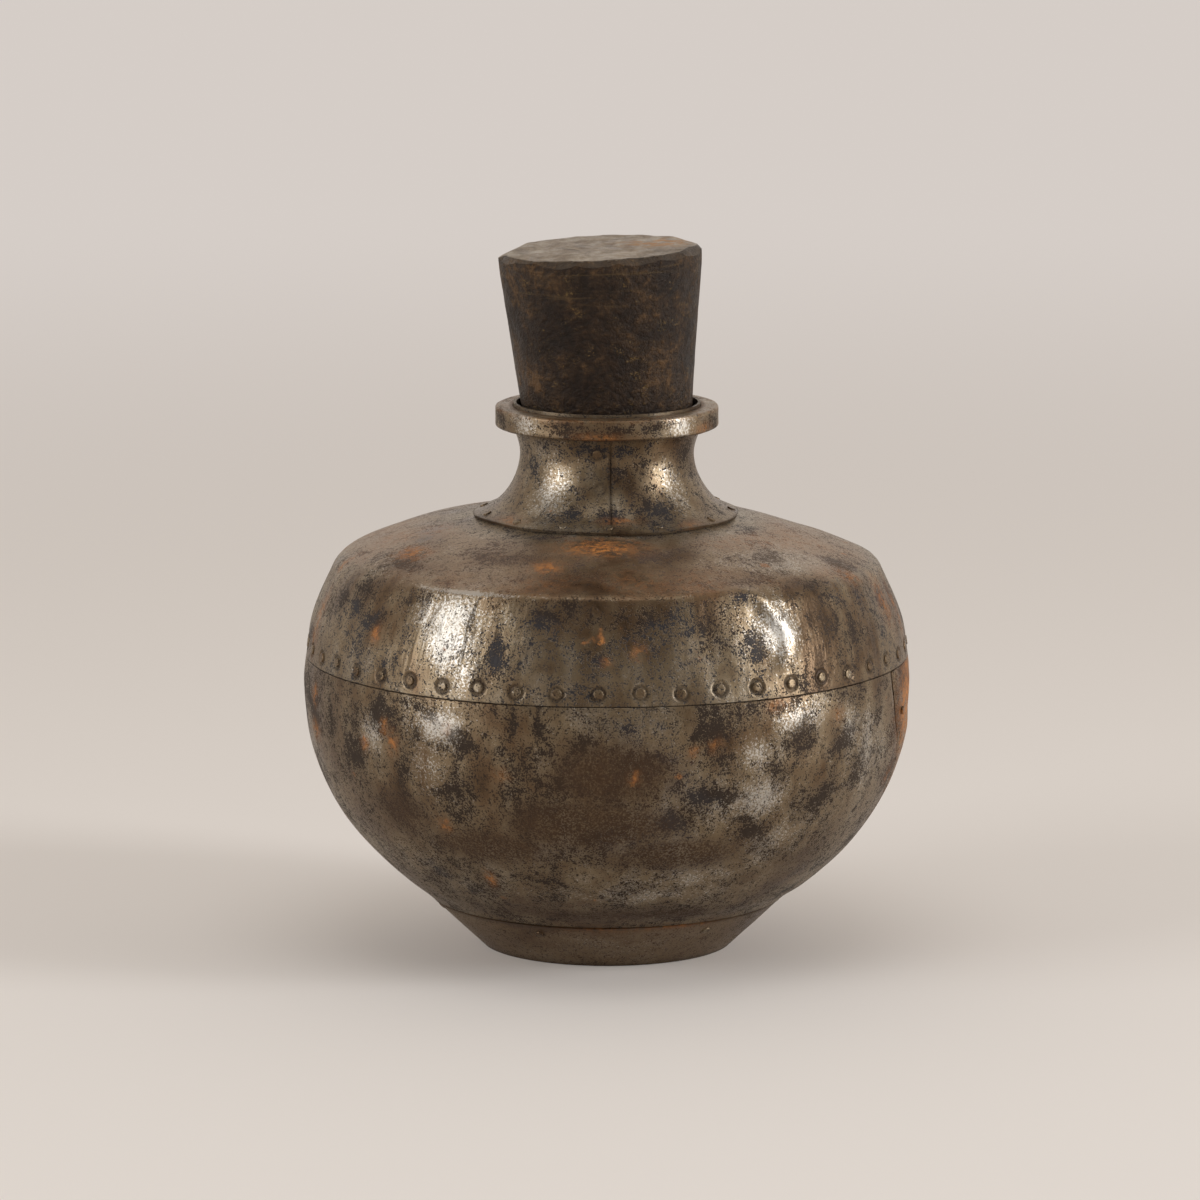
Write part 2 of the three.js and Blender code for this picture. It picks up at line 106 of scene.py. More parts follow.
# Neck
FLANGE_RADIUS = 88.4 * MM
FLANGE_WIDTH = 11.4 * MM
FLANGE_WAVES = ((0.78 * MM, 3, 0.8), (0.52 * MM, 7, -0.5))
THROAT_RADIUS = 57.8 * MM
THROAT_HEIGHT = 331 * MM
NECK_SEAM = 2.15
NECK_LAP = 15.0
NECK_STEPS = 251
NECK_THIN_END = 0.75 * MM
RING_SEAT_RADIUS = 63 * MM
LIP_RADIUS = 62.2 * MM
LIP_HEIGHT = 365.6 * MM

# Rim ring
RING_LOW, RING_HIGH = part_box("rim_ring")

# Stopper
STOPPER_LEAN = 2.6
STOPPER_SEAT = Vector((1.35 * MM, 0.0, 333 * MM))
PLUG_DEPTH = 13 * MM
WEDGE_RADIUS = 54.1 * MM
STOPPER_RIM_RADIUS = 57.2 * MM
RIM_LEVEL = 33 * MM
STOPPER_TOP_RADIUS = 68 * MM
STOPPER_HEIGHT = 136 * MM
HEWN_FLATS = ((-103.0, 12 * MM, 22.0), (110.0, 8.5 * MM, 25.0), (70.0, 7 * MM, 38.0))

# Rivets
HEAD_RADIUS = 3.2 * MM
HEAD_RISE = 1.3 * MM
SHANK_RADIUS = 1.6 * MM
TAIL_RADIUS = 2.8 * MM
TAIL_LENGTH = 1.3 * MM
DIMPLE_RADIUS = 4.3 * MM
DIMPLE_REACH = 9.5 * MM
BELLY_RIVET_DEPTH = 1.5 * MM
SMALL_HEAD_RADIUS = 2.9 * MM
SMALL_HEAD_RISE = 1.2 * MM
THREE_SHEET_RIVETS = ("belly_rivet_11", "belly_rivet_35")
PLUG_RIVETS = {"bowl_plug_rivet_left": (22.5, 0.1041), "bowl_plug_rivet_right": (29.2, 0.1085)}
NECK_SEAM_RIVETS = {"neck_seam_rivet_upper": (-6.4, 0.3387), "neck_seam_rivet_lower": (-4.3, 0.3159)}
LAP_RIVET_LEVELS = (0.166, 0.129, 0.094, 0.062)
FLANGE_RIVETS = (-73.6, -45.8, -20.3, 0.7, 24.3, 56.2, 87.2, 118.0, 148.0, 178.0, 208.0, 238.0, 262.0)
FLANGE_RIVET_RADIUS = 82.8 * MM
FOOT_RIVETS = (-23.5, 36.0, 96.0, 156.0, 216.0, 276.0)
FOOT_RIVET_INSET = 9.6 * MM

# Where the beaten relief lies: each band rises over its first pair of values and falls over its second
SHARP_CREASE_BAND = ((-52, -40), (28, 40))
SKIRT_BAND = ((0.200, 0.214), (0.256, 0.266))
SHOULDER_TOP_BAND = ((0.258, 0.268), (0.284, 0.289))
SHOULDER_WAVE_BAND = ((0.200, 0.215), (0.284, 0.290))
SUNK_BAND = ((35, 75), (110, 165))
RAISED_BAND = ((-165, -110), (-70, -35))
BOWL_BAND = ((0.036, 0.048), (SKIRT_EDGE - 0.012, SKIRT_EDGE - 0.003))
NECK_BAND = ((0.294, 0.304), (0.344, 0.3495))
STROKE_SLANT = 0.10

# The dish hammered into the skirt right of the front
DISH_ANGLE = 25.5
DISH_HALF_ANGLE = 11.0
DISH_HEIGHT = 232 * MM
DISH_HALF_HEIGHT = 29 * MM
DISH_DEPTH = 1.7 * MM
DISH_RIDGE = 1.5 * MM

# Colours of the iron
BARE_STEEL = (0.66, 0.62, 0.56)
WORN_STEEL = (0.38, 0.320, 0.240)
OLIVE_PATINA = (0.235, 0.172, 0.103)
BROWN_PATINA = (0.145, 0.090, 0.048)
SOOT_BROWN = (0.070, 0.042, 0.023)
PIT_BLUE = (0.034, 0.031, 0.033)
PIT_BROWN = (0.032, 0.020, 0.013)
RUST_DARK = (0.17, 0.065, 0.028)
RUST_BRIGHT = (0.62, 0.24, 0.055)
SMOKE_BROWN = (0.068, 0.037, 0.019)
DUST_BROWN = (0.300, 0.176, 0.102)
RUSTY_BROWN = (0.165, 0.095, 0.050)
# Dirt in the seams, also the colour of the painted shade under and inside the rim ring
SEAM_DIRT_AND_SHADE = (0.036, 0.022, 0.013)

# Colours of the wood
TAR_BLACK = (0.005, 0.003, 0.003)
TAR_BROWN = (0.013, 0.007, 0.005)
DARK_WOOD = (0.032, 0.018, 0.010)
RUBBED_WOOD = (0.105, 0.056, 0.024)
OCHRE_WOOD = (0.24, 0.150, 0.052)
SCUFFED_WOOD = (0.13, 0.082, 0.035)
DIRTY_TOP = (0.140, 0.100, 0.066)
BARE_TOP = (0.270, 0.208, 0.145)
PALE_TOP = (0.420, 0.345, 0.262)
RUSTY_TOP = (0.46, 0.22, 0.07)
WOOD_SHEEN = (1.0, 0.84, 0.70)

# Floor and light, where each lamp has its angle, distance, height, width, length and power
FLOOR_SIZE = 60.0
FLOOR_BACK = 12.0
FLOOR_COLOUR = (0.76, 0.71, 0.66)
FAR_FLOOR_COLOUR = (0.05, 0.047, 0.044)
FLOOR_GLOW = (0.80, 0.735, 0.69)
NEAR_GLOW = 0.11
FAR_GLOW = 0.67
FAR_FROM, FAR_TO = 0.8, 4.0
SURROUND_COLOUR = (0.83, 0.765, 0.70)
LAMP_COLOUR = (0.94, 0.965, 1.0)
LAMP_AIM = Vector((0, 0, 0.22))
LAMPS = {
    "window_left": (-64, 4.4, 1.28, 2.4, 3.4, 107.0),
    "window_right": (73, 4.4, 1.38, 1.2, 3.0, 136.0),
    "ceiling": (0, 0.7, 2.6, 1.6, 1.2, 8.0),
}


# Small helpers
def turned(angle):
    """The level direction at an angle round the pot."""
    turn = math.radians(angle)
    return Vector((math.sin(turn), -math.cos(turn), 0.0))


def smooth(low, high, x):
    """Goes softly from 0 at low to 1 at high."""
    t = np.clip((x - low) / (high - low), 0.0, 1.0)
    return t * t * (3 - 2 * t)


def band(x, limits):
    """1 in a band and 0 outside it, with a soft rise and fall."""
    (rise_low, rise_high), (fall_low, fall_high) = limits
    return smooth(rise_low, rise_high, x) * smooth(fall_high, fall_low, x)


def bump_at(x, centre, width):
    """A soft bump, 1 at its centre."""
    return np.exp(-((x - centre) / width) ** 2)


def strokes(across, along, width, length, seed):
    """Smooth noise from -1 to 1 in strokes of a width and length on a flattened surface."""
    return np.array([
        noise.noise(Vector((u / width, v / length, seed * 9.7))) for u, v in zip(across, along)
    ])


def lumps(points, size, seed):
    """Smooth noise from -1 to 1 at points, with lumps of about the size given, or given in x, y and z."""
    shift = seed * np.array((17.3, 5.1, 11.7))
    return np.array([noise.noise(Vector(p)) for p in points / np.array(size) + shift])


def dishes(points, size, seed):
    """Hammer dishes: 0 in the middle of each blow, rising to 1 on the ridges between the blows."""
    shift = seed * np.array((7.9, 13.3, 3.7))
    spots = points / np.array(size) + shift
    return np.array([min(noise.voronoi(Vector(p))[0][0], 1.0) for p in spots])


def step_in(length, rise):
    """A step in the radius and height plane, inward and up at a rise in degrees."""
    slope = math.radians(rise)
    return np.array((-length * math.cos(slope), length * math.sin(slope)))


def bezier(start, start_handle, end_handle, end, count):
    """Points of a curve without its first one."""
    corners = [Vector((p[0], p[1], 0.0)) for p in (start, start_handle, end_handle, end)]
    return [np.array(p[:2]) for p in interpolate_bezier(*corners, count + 1)[1:]]


def straight(start, end, count):
    """Points of a line without its first one."""
    return [start + (end - start) * (i + 1) / count for i in range(count)]


def rounded(start, corner, end, pull, count):
    """Points of a curve that rounds a corner, without its first one."""
    return bezier(start, start + (corner - start) * pull, end + (corner - end) * pull, end, count)


def offset_path(path, distance):
    """A path moved away from the pot, or into it for a negative distance."""
    path = np.array(path)
    along = np.gradient(path, axis=0)
    along /= np.linalg.norm(along, axis=1)[:, None]
    return path + distance * np.stack((along[:, 1], -along[:, 0]), axis=1)


def deselect():
    """Leaves edit mode and selects nothing."""
    if bpy.context.object and bpy.context.object.mode != "OBJECT":
        bpy.ops.object.mode_set(mode="OBJECT")
    bpy.ops.object.select_all(action="DESELECT")


def pick(piece):
    """Makes a piece the one that is selected and worked on."""
    deselect()
    piece.select_set(True)
    bpy.context.view_layer.objects.active = piece


def spin_path(name, path, start, sweep, steps):
    """Draws a path point by point at the start angle and spins it round the pot's axis."""
    deselect()
    bpy.ops.mesh.primitive_plane_add(size=0.001)
    piece = bpy.context.object
    piece.name = name
    piece.data.name = name
    bpy.ops.object.mode_set(mode="EDIT")
    bpy.ops.mesh.select_all(action="SELECT")
    bpy.ops.mesh.merge(type="CENTER")
    side = turned(start)
    places = [side * p[0] + Vector((0.0, 0.0, p[1])) for p in path]
    bpy.ops.transform.translate(value=places[0])
    for before, after in zip(places, places[1:]):
        bpy.ops.mesh.extrude_region_move(TRANSFORM_OT_translate={"value": after - before})
    bpy.ops.mesh.select_all(action="SELECT")
    bpy.ops.mesh.spin(steps=steps, angle=math.radians(sweep), center=(0, 0, 0), axis=(0, 0, -1))
    bpy.ops.mesh.select_all(action="SELECT")
    bpy.ops.mesh.remove_doubles(threshold=WELD_DISTANCE)
    bpy.ops.mesh.normals_make_consistent(inside=False)
    bpy.ops.object.mode_set(mode="OBJECT")
    bpy.ops.object.transform_apply(location=True, rotation=True, scale=True)
    return piece


def get_points(piece):
    flat = np.empty(len(piece.data.vertices) * 3)
    piece.data.vertices.foreach_get("co", flat)
    return flat.reshape(-1, 3)


def set_points(piece, points):
    piece.data.vertices.foreach_set("co", points.reshape(-1))
    piece.data.update()


def get_normals(piece):
    flat = np.empty(len(piece.data.vertices) * 3)
    piece.data.vertices.foreach_get("normal", flat)
    return flat.reshape(-1, 3)


def round_angle(points):
    """Degrees from the front towards +X, from -180 to 180."""
    return np.degrees(np.arctan2(points[:, 0], -points[:, 1]))


def round_radius(points):
    """Distance from the pot's axis."""
    return np.hypot(points[:, 0], points[:, 1])


def wrap(angle):
    """The same angle, from -180 to 180 degrees."""
    return (angle + 180.0) % 360.0 - 180.0


def path_rows(path, points):
    """The number of the path's point from which each point was spun."""
    spots = zip(round_radius(points), points[:, 2])
    return np.array([np.argmin((path[:, 0] - r) ** 2 + (path[:, 1] - z) ** 2) for r, z in spots])


def flip_faces(piece):
    """Turns a piece's faces the other way round."""
    pick(piece)
    bpy.ops.object.mode_set(mode="EDIT")
    bpy.ops.mesh.select_all(action="SELECT")
    bpy.ops.mesh.flip_normals()
    bpy.ops.object.mode_set(mode="OBJECT")


def face_outward(piece):
    """Turns an open sheet's faces so that they point away from the pot's axis or up."""
    polygon = piece.data.polygons[len(piece.data.polygons) // 2]
    outward = Vector((polygon.center.x, polygon.center.y, 0.0)).normalized() + Vector((0, 0, 0.3))
    if polygon.normal.dot(outward) < 0:
        flip_faces(piece)


def push(piece, distance):
    """Moves each point along its normal."""
    set_points(piece, get_points(piece) + get_normals(piece) * distance[:, None])


def patches(points, places):
    """Soft patches, each (angle, height, half width, half height, strength), in millimetres."""
    angle = round_angle(points)
    radius = round_radius(points)
    total = np.zeros(len(points))
    for where, height, wide, tall, strength in places:
        across = np.radians(wrap(angle - where)) * radius / (wide * MM)
        up = (points[:, 2] - height * MM) / (tall * MM)
        total = np.maximum(total, strength * np.exp(-(across ** 2 + up ** 2)))
    return total


def scattered(count, seed, low, high, wide, tall, strength=1.0):
    """Patches strewn over the sides and back, which the front's own patches leave out."""
    chance = np.random.default_rng(seed)
    places = []
    for _ in range(count):
        size = chance.uniform(0.5, 1.3)
        places.append((
            chance.uniform(72, 288), chance.uniform(low, high), wide * size * chance.uniform(0.6, 1.5),
            tall * size, strength * chance.uniform(0.6, 1.0),
        ))
    return places


def refine_near(piece, centres, reach, cuts):
    """Subdivides the faces near the given places, for the fine shapes there."""
    mesh = piece.data
    middles = np.array([polygon.center[:] for polygon in mesh.polygons])
    near = np.zeros(len(middles), dtype=bool)
    for centre in centres:
        near |= np.linalg.norm(middles - np.array(centre), axis=1) < reach
    corners = np.zeros(len(mesh.vertices), dtype=bool)
    for polygon in mesh.polygons:
        if near[polygon.index]:
            corners[list(polygon.vertices)] = True
    ends = np.empty(len(mesh.edges) * 2, dtype=int)
    mesh.edges.foreach_get("vertices", ends)
    ends = ends.reshape(-1, 2)
    pick(piece)
    mesh.polygons.foreach_set("select", near)
    mesh.vertices.foreach_set("select", corners)
    mesh.edges.foreach_set("select", corners[ends[:, 0]] & corners[ends[:, 1]])
    bpy.ops.object.mode_set(mode="EDIT")
    bpy.ops.mesh.subdivide(number_cuts=cuts)
    bpy.ops.object.mode_set(mode="OBJECT")


def keep_values(piece, name, values):
    """Keeps a number on each point, for the material to read."""
    layer = piece.data.attributes.new(name, "FLOAT", "POINT")
    layer.data.foreach_set("value", values.astype(np.float32))


def paint(piece, name, shares):
    """Keeps a share from 0 to 1 on each point."""
    keep_values(piece, name, np.clip(shares, 0.0, 1.0))


def give_thickness(piece, thickness, shares=None, thinnest=0.0):
    """Thickens a sheet inward, in full where the share is 1 and down to the thinnest where it is 0."""
    pick(piece)
    sheet = piece.modifiers.new("sheet", "SOLIDIFY")
    sheet.thickness = thickness
    sheet.offset = -1.0
    sheet.use_even_offset = False
    if shares is not None:
        group = piece.vertex_groups.new(name="full")
        for index, share in enumerate(shares):
            group.add([index], float(share), "REPLACE")
        sheet.vertex_group = group.name
        sheet.thickness_vertex_group = thinnest
    bpy.ops.object.modifier_apply(modifier=sheet.name)


def finish_piece(piece, material, slot, body, *nodes, crease=35.0):
    """Shades a piece smooth up to a crease's angle, with its material and its place in the model."""
    piece.data.materials.clear()
    piece.data.materials.append(material)
    pick(piece)
    bpy.ops.object.shade_smooth_by_angle(angle=math.radians(crease))
    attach(piece, body)
    if nodes:
        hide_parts(*nodes)


# Making of materials
class Surface:
    """A material whose nodes are added by short calls. Every pattern reads Object coordinates."""

    def __init__(self, name):
        self.material = bpy.data.materials.new(name)
        self.material.use_nodes = True
        self.tree = self.material.node_tree
        self.shader = self.tree.nodes["Principled BSDF"]
        self.place = self.tree.nodes.new("ShaderNodeTexCoord").outputs["Object"]

    def link(self, source, target):
        """Joins a socket to another, or sets it to a number, colour or vector."""
        if isinstance(source, (int, float)):
            target.default_value = source
        elif isinstance(source, tuple):
            plain = len(source) == 3 and len(target.default_value) == 4
            target.default_value = (*source, 1.0) if plain else source
        else:
            self.tree.links.new(source, target)

    def moved(self, scale, location=(0, 0, 0)):
        node = self.tree.nodes.new("ShaderNodeMapping")
        self.tree.links.new(self.place, node.inputs["Vector"])
        node.inputs["Scale"].default_value = scale
        node.inputs["Location"].default_value = location
        return node.outputs["Vector"]

    def noise(self, scale, detail, roughness, vector=None, distortion=0.0):
        node = self.tree.nodes.new("ShaderNodeTexNoise")
        self.tree.links.new(vector or self.place, node.inputs["Vector"])
        node.inputs["Scale"].default_value = scale
        node.inputs["Detail"].default_value = detail
        node.inputs["Roughness"].default_value = roughness
        node.inputs["Distortion"].default_value = distortion
        return node.outputs["Fac"]

    def number(self, operation, first, second, clamp=False):
        node = self.tree.nodes.new("ShaderNodeMath")
        node.operation = operation
        node.use_clamp = clamp
        self.link(first, node.inputs[0])
        self.link(second, node.inputs[1])
        return node.outputs["Value"]

    def times(self, first, second):
        return self.number("MULTIPLY", first, second)

    def add(self, first, *others):
        for other in others:
            first = self.number("ADD", first, other)
        return first

    def less(self, first, second):
        return self.number("SUBTRACT", first, second)

    def most(self, first, *others):
        for other in others:
            first = self.number("MAXIMUM", first, other)
        return first

    def swing(self, value, reach):
        """A noise's swing to both sides of its middle, times a reach."""
        return self.times(self.less(value, 0.5), reach)

    def clamped(self, value, change):
        """A value plus a change, kept from 0 to 1."""
        return self.number("ADD", value, change, clamp=True)

    def between(self, value, low, high, first=0.0, last=1.0):
        """Goes from first to last as the value goes from low to high."""
        node = self.tree.nodes.new("ShaderNodeMapRange")
        node.interpolation_type = "SMOOTHSTEP"
        self.link(value, node.inputs["Value"])
        node.inputs["From Min"].default_value = low
        node.inputs["From Max"].default_value = high
        node.inputs["To Min"].default_value = first
        node.inputs["To Max"].default_value = last
        return node.outputs["Result"]

    def ramp(self, value, *stops):
        node = self.tree.nodes.new("ShaderNodeValToRGB")
        self.link(value, node.inputs["Fac"])
        elements = node.color_ramp.elements
        while len(elements) < len(stops):
            elements.new(0.5)
        for element, (position, colour) in zip(elements, stops):
            element.position = position
            element.color = (*colour, 1.0)
        return node.outputs["Color"]

    def blend(self, factor, first, second):
        node = self.tree.nodes.new("ShaderNodeMix")
        node.data_type = "RGBA"
        self.link(factor, node.inputs[0])
        self.link(first, node.inputs[6])
        self.link(second, node.inputs[7])
        return node.outputs[2]

    def attribute(self, name):
        node = self.tree.nodes.new("ShaderNodeAttribute")
        node.attribute_name = name
        return node.outputs["Fac"]

    def unrolled(self, squash):
        """The painted distance round the pot and the squashed height, so that patterns run upright."""
        split = self.tree.nodes.new("ShaderNodeSeparateXYZ")
        self.tree.links.new(self.place, split.inputs["Vector"])
        node = self.tree.nodes.new("ShaderNodeCombineXYZ")
        self.link(self.attribute("across"), node.inputs["X"])
        self.link(self.times(split.outputs["Z"], squash), node.inputs["Z"])
        return node.outputs["Vector"]

    def bump(self, height, distance, strength):
        node = self.tree.nodes.new("ShaderNodeBump")
        node.inputs["Strength"].default_value = strength
        node.inputs["Distance"].default_value = distance
        self.link(height, node.inputs["Height"])
        return node.outputs["Normal"]

    def set(self, socket, value):
        self.link(value, self.shader.inputs[socket])


def iron(name, tone, pitting, blue, smoke, stroke, seed, veil_colour=SMOKE_BROWN):
    """Beaten iron, from the shares kept on each piece for wear and painted highlight, dark, smoke, rust,
    dirt and painted shade, and fluted.

    Tone goes from brown patina to thin olive patina, pitting, blue and smoke from none to much. Stroke is
    the brushing's shape.
    """
    coat = Surface(name)
    shift = (seed * 0.37, seed * 0.21, seed * 0.11)
    place = coat.moved((1, 1, 1), location=shift)
    brushed = coat.moved(stroke, location=shift)
    cloud = coat.noise(11.0, 4.0, 0.55, place, 0.6)
    patch = coat.noise(46.0, 6.0, 0.68, place, 0.5)
    speck = coat.noise(260.0, 3.0, 0.7, place)
    grain = coat.noise(700.0, 3.0, 0.7, place)
    fine = coat.noise(900.0, 2.0, 0.6, place)
    streak = coat.noise(60.0, 4.0, 0.6, brushed)
    wear_and_highlight = coat.attribute("wear_and_highlight")

    # Patina, thin and olive where wear and painted highlights are marked, thick and brown elsewhere
    mixed = coat.add(
        coat.times(cloud, 0.45), coat.times(streak, 0.35), coat.times(patch, 0.20), coat.times(wear_and_highlight, 0.14),
    )
    base = coat.ramp(
        mixed,
        (0.36, SOOT_BROWN), (0.45 - 0.04 * tone, BROWN_PATINA), (0.54 - 0.04 * tone, OLIVE_PATINA),
        (0.68, WORN_STEEL),
    )

    # Bare metal shows through in grains, closer together where the pot is rubbed and where highlights are
    # painted
    rubbed = coat.add(coat.swing(mixed, 0.9), coat.swing(grain, 1.1), coat.swing(wear_and_highlight, 0.26))
    bare = coat.between(rubbed, 0.00, 0.18)
    base = coat.blend(coat.times(bare, 0.75), base, BARE_STEEL)

    # Pitting: blotches whose edges break up into specks, with pepper between them
    blued = coat.between(cloud, 0.62 - 0.30 * blue, 0.72 - 0.30 * blue)
    pit_colour = coat.blend(blued, PIT_BROWN, PIT_BLUE)
    field = coat.add(coat.times(coat.attribute("dark"), 0.44), coat.swing(patch, 1.6))
    field = coat.less(field, coat.times(wear_and_highlight, 0.14))
    margin = coat.between(field, 0.04 - 0.18 * pitting, 0.40 - 0.18 * pitting)
    base = coat.blend(coat.times(margin, 0.42), base, SOOT_BROWN)
    field = coat.add(field, coat.swing(speck, 1.2), coat.swing(fine, 1.8))
    pits = coat.between(field, 0.22 - 0.16 * pitting, 0.44 - 0.16 * pitting)
    # Fewer pits and less pepper where wear and painted highlights are marked
    outside_wear_and_highlight = coat.between(wear_and_highlight, 0.2, 0.9, 1.0, 0.45)
    colour = coat.blend(coat.times(coat.times(pits, 0.95), outside_wear_and_highlight), base, pit_colour)
    peppered = coat.less(coat.add(coat.swing(speck, 0.8), coat.swing(fine, 1.2)), coat.times(wear_and_highlight, 0.16))
    pepper = coat.times(coat.times(coat.between(peppered, 0.04, 0.14), 0.68), outside_wear_and_highlight)
    colour = coat.blend(pepper, colour, pit_colour)

    # Smoke: soft brown over everything, thickest in its patches
    veil = coat.add(coat.times(coat.attribute("smoke"), 0.8), coat.times(cloud, 0.6))
    veil = coat.times(coat.between(veil, 0.40, 0.95), smoke)
    veil = coat.times(veil, coat.between(grain, 0.38, 0.58, 0.40, 1.0))
    colour = coat.blend(veil, colour, veil_colour)

    # Rust: painted patches and a few blooms of its own, broken up into grains
    bloom = coat.noise(38.0, 3.0, 0.6, coat.moved((1, 1, 1), location=(3.1 + seed, 1.7, 0.4)))
    rust = coat.most(coat.times(coat.between(bloom, 0.70, 0.76), 0.7), coat.attribute("rust"))
    rust = coat.times(rust, coat.between(coat.noise(200.0, 4.0, 0.75, place), 0.37, 0.54))
    rust_colour = coat.ramp(coat.noise(260.0, 3.0, 0.6, place), (0.35, RUST_DARK), (0.65, RUST_BRIGHT))
    colour = coat.blend(rust, colour, rust_colour)

    # Dirt along the seams and round the rivets, and painted shade under and inside the rim ring and along
    # the neck's flange
    dirt_and_shade = coat.attribute("dirt_and_shade")
    colour = coat.blend(coat.times(dirt_and_shade, 0.85), colour, SEAM_DIRT_AND_SHADE)
    coat.set("Base Color", colour)

    # Bare grains shine, and what lies on the metal is dull
    dull = coat.most(pits, rust, dirt_and_shade, pepper, coat.times(veil, 0.7))
    shine = coat.less(coat.add(coat.times(bare, 0.35), 0.62), coat.times(dull, 0.25))
    coat.set("Metallic", coat.clamped(shine, coat.times(rust, -0.35)))
    rough = coat.add(coat.between(dull, 0.0, 1.0, 0.33, 0.58), coat.swing(streak, 0.25))
    rough = coat.add(rough, coat.times(bare, 0.03))
    coat.set("Roughness", coat.clamped(rough, coat.swing(cloud, 0.20)))
    coat.set("Specular IOR Level", 0.25)

    # Relief: grain, eaten pits, brushed streaks and upright hammer flutes
    flutes = coat.less(coat.noise(125.0, 2.5, 0.55, coat.unrolled(0.18)), 0.5)
    flutes = coat.times(coat.times(flutes, coat.attribute("fluted")), 4.5)
    height = coat.less(coat.times(grain, 0.26), coat.times(pits, 0.35))
    height = coat.add(height, coat.times(streak, 0.4), flutes)
    coat.set("Normal", coat.bump(height, 0.0006, 0.7))
    return coat.material


def wood(name):
    """Old hardwood, tarred and handled to a lumpy dark skin, with brown and ochre rubbed through it."""
    coat = Surface(name)
    wear_and_highlight = coat.attribute("wear_and_highlight")
    cloud = coat.noise(30.0, 6.0, 0.66, None, 0.6)
    blot = coat.noise(90.0, 5.0, 0.68, coat.moved((1, 1, 0.8)), 0.4)
    skin = coat.noise(230.0, 4.0, 0.65, coat.moved((1, 1, 1.3)))
    fine = coat.noise(620.0, 3.0, 0.7)
    colour = coat.ramp(
        coat.add(coat.times(cloud, 0.40), coat.times(blot, 0.30), coat.times(skin, 0.30)),
        (0.40, TAR_BLACK), (0.47, TAR_BROWN), (0.53, DARK_WOOD), (0.61, RUBBED_WOOD),
    )

    # Ochre grains where the tar has gone, and level scores where it is scuffed
    thin = coat.noise(64.0, 5.0, 0.75, coat.moved((1, 1, 1.6), location=(4, 2, 1)))
    ochre = coat.times(coat.between(thin, 0.54, 0.68), coat.between(fine, 0.50, 0.62))
    colour = coat.blend(coat.times(ochre, 0.75), colour, OCHRE_WOOD)
    scored = coat.between(coat.noise(70.0, 3.0, 0.6, coat.moved((0.22, 0.22, 4.0))), 0.55, 0.70)
    scored = coat.times(coat.times(scored, coat.attribute("scuffed")), 0.6)
    colour = coat.blend(scored, colour, SCUFFED_WOOD)

    # The bare top, with its rust stain
    top_colour = coat.ramp(
        coat.noise(80.0, 6.0, 0.68, coat.moved((1, 0.35, 1)), 0.5),
        (0.34, DIRTY_TOP), (0.50, BARE_TOP), (0.66, PALE_TOP),
    )
    stain = coat.times(coat.attribute("rust"), coat.between(blot, 0.42, 0.56))
    top_colour = coat.blend(stain, top_colour, RUSTY_TOP)
    coat.set("Base Color", coat.blend(coat.times(wear_and_highlight, 0.92), colour, top_colour))

    coat.set("Roughness", coat.between(blot, 0.35, 0.65, 0.34, 0.58))
    coat.set("Specular IOR Level", 0.28)
    coat.set("Specular Tint", WOOD_SHEEN)
    height = coat.add(coat.times(skin, 1.5), coat.times(fine, 0.4), coat.times(blot, 0.8))
    height = coat.times(height, coat.between(wear_and_highlight, 0.0, 1.0, 1.0, 0.4))
    coat.set("Normal", coat.bump(height, 0.0020, 0.8))
    return coat.material


# Profiles
heel = np.array((PAN_RADIUS - (PAN_HEIGHT - MM) / math.tan(math.radians(PAN_RISE)), MM))
pan_edge = np.array((PAN_RADIUS, PAN_HEIGHT))
pan_step = (pan_edge - heel) / np.linalg.norm(pan_edge - heel)
skirt_edge = np.array((SKIRT_RADIUS, SKIRT_EDGE))
skirt_step = step_in(1.0, 90 - SKIRT_LEAN)
seat_outer = np.array((SEAT_RADIUS, SEAT_HEIGHT))
seat_step = step_in(1.0, SEAT_RISE)


def shoulder_path(crease):
    """The shoulder's outer face, from the skirt's edge to the hole, with its crease rounded as given."""
    side_round, top_round = crease
    corner = np.array((CREASE_RADIUS, CREASE_HEIGHT))
    skirt_top = skirt_edge + skirt_step * SKIRT_LAP
    start = corner - step_in(side_round, 90 - SIDE_LEAN)
    end = corner + step_in(top_round, TOP_RISE)
    third = np.linalg.norm(start - skirt_top) / 3
    below_start = start - step_in(third, 90 - SIDE_LEAN)
    side = bezier(skirt_top, skirt_top + skirt_step * third, below_start, start, 14)
    turn = rounded(start, corner, end, 0.66, 12)
    third = np.linalg.norm(end - seat_outer) / 3
    below_seat = seat_outer - step_in(third, TOP_END_RISE)
    top = bezier(end, end + step_in(third, TOP_RISE), below_seat, seat_outer, 22)
    hole = seat_outer + seat_step * ((SEAT_RADIUS - HOLE_RADIUS) / -seat_step[0])
    lap = straight(skirt_edge, skirt_top, 6)
    return np.array([skirt_edge, *lap, *side, *turn, *top, *straight(seat_outer, hole, 5)])


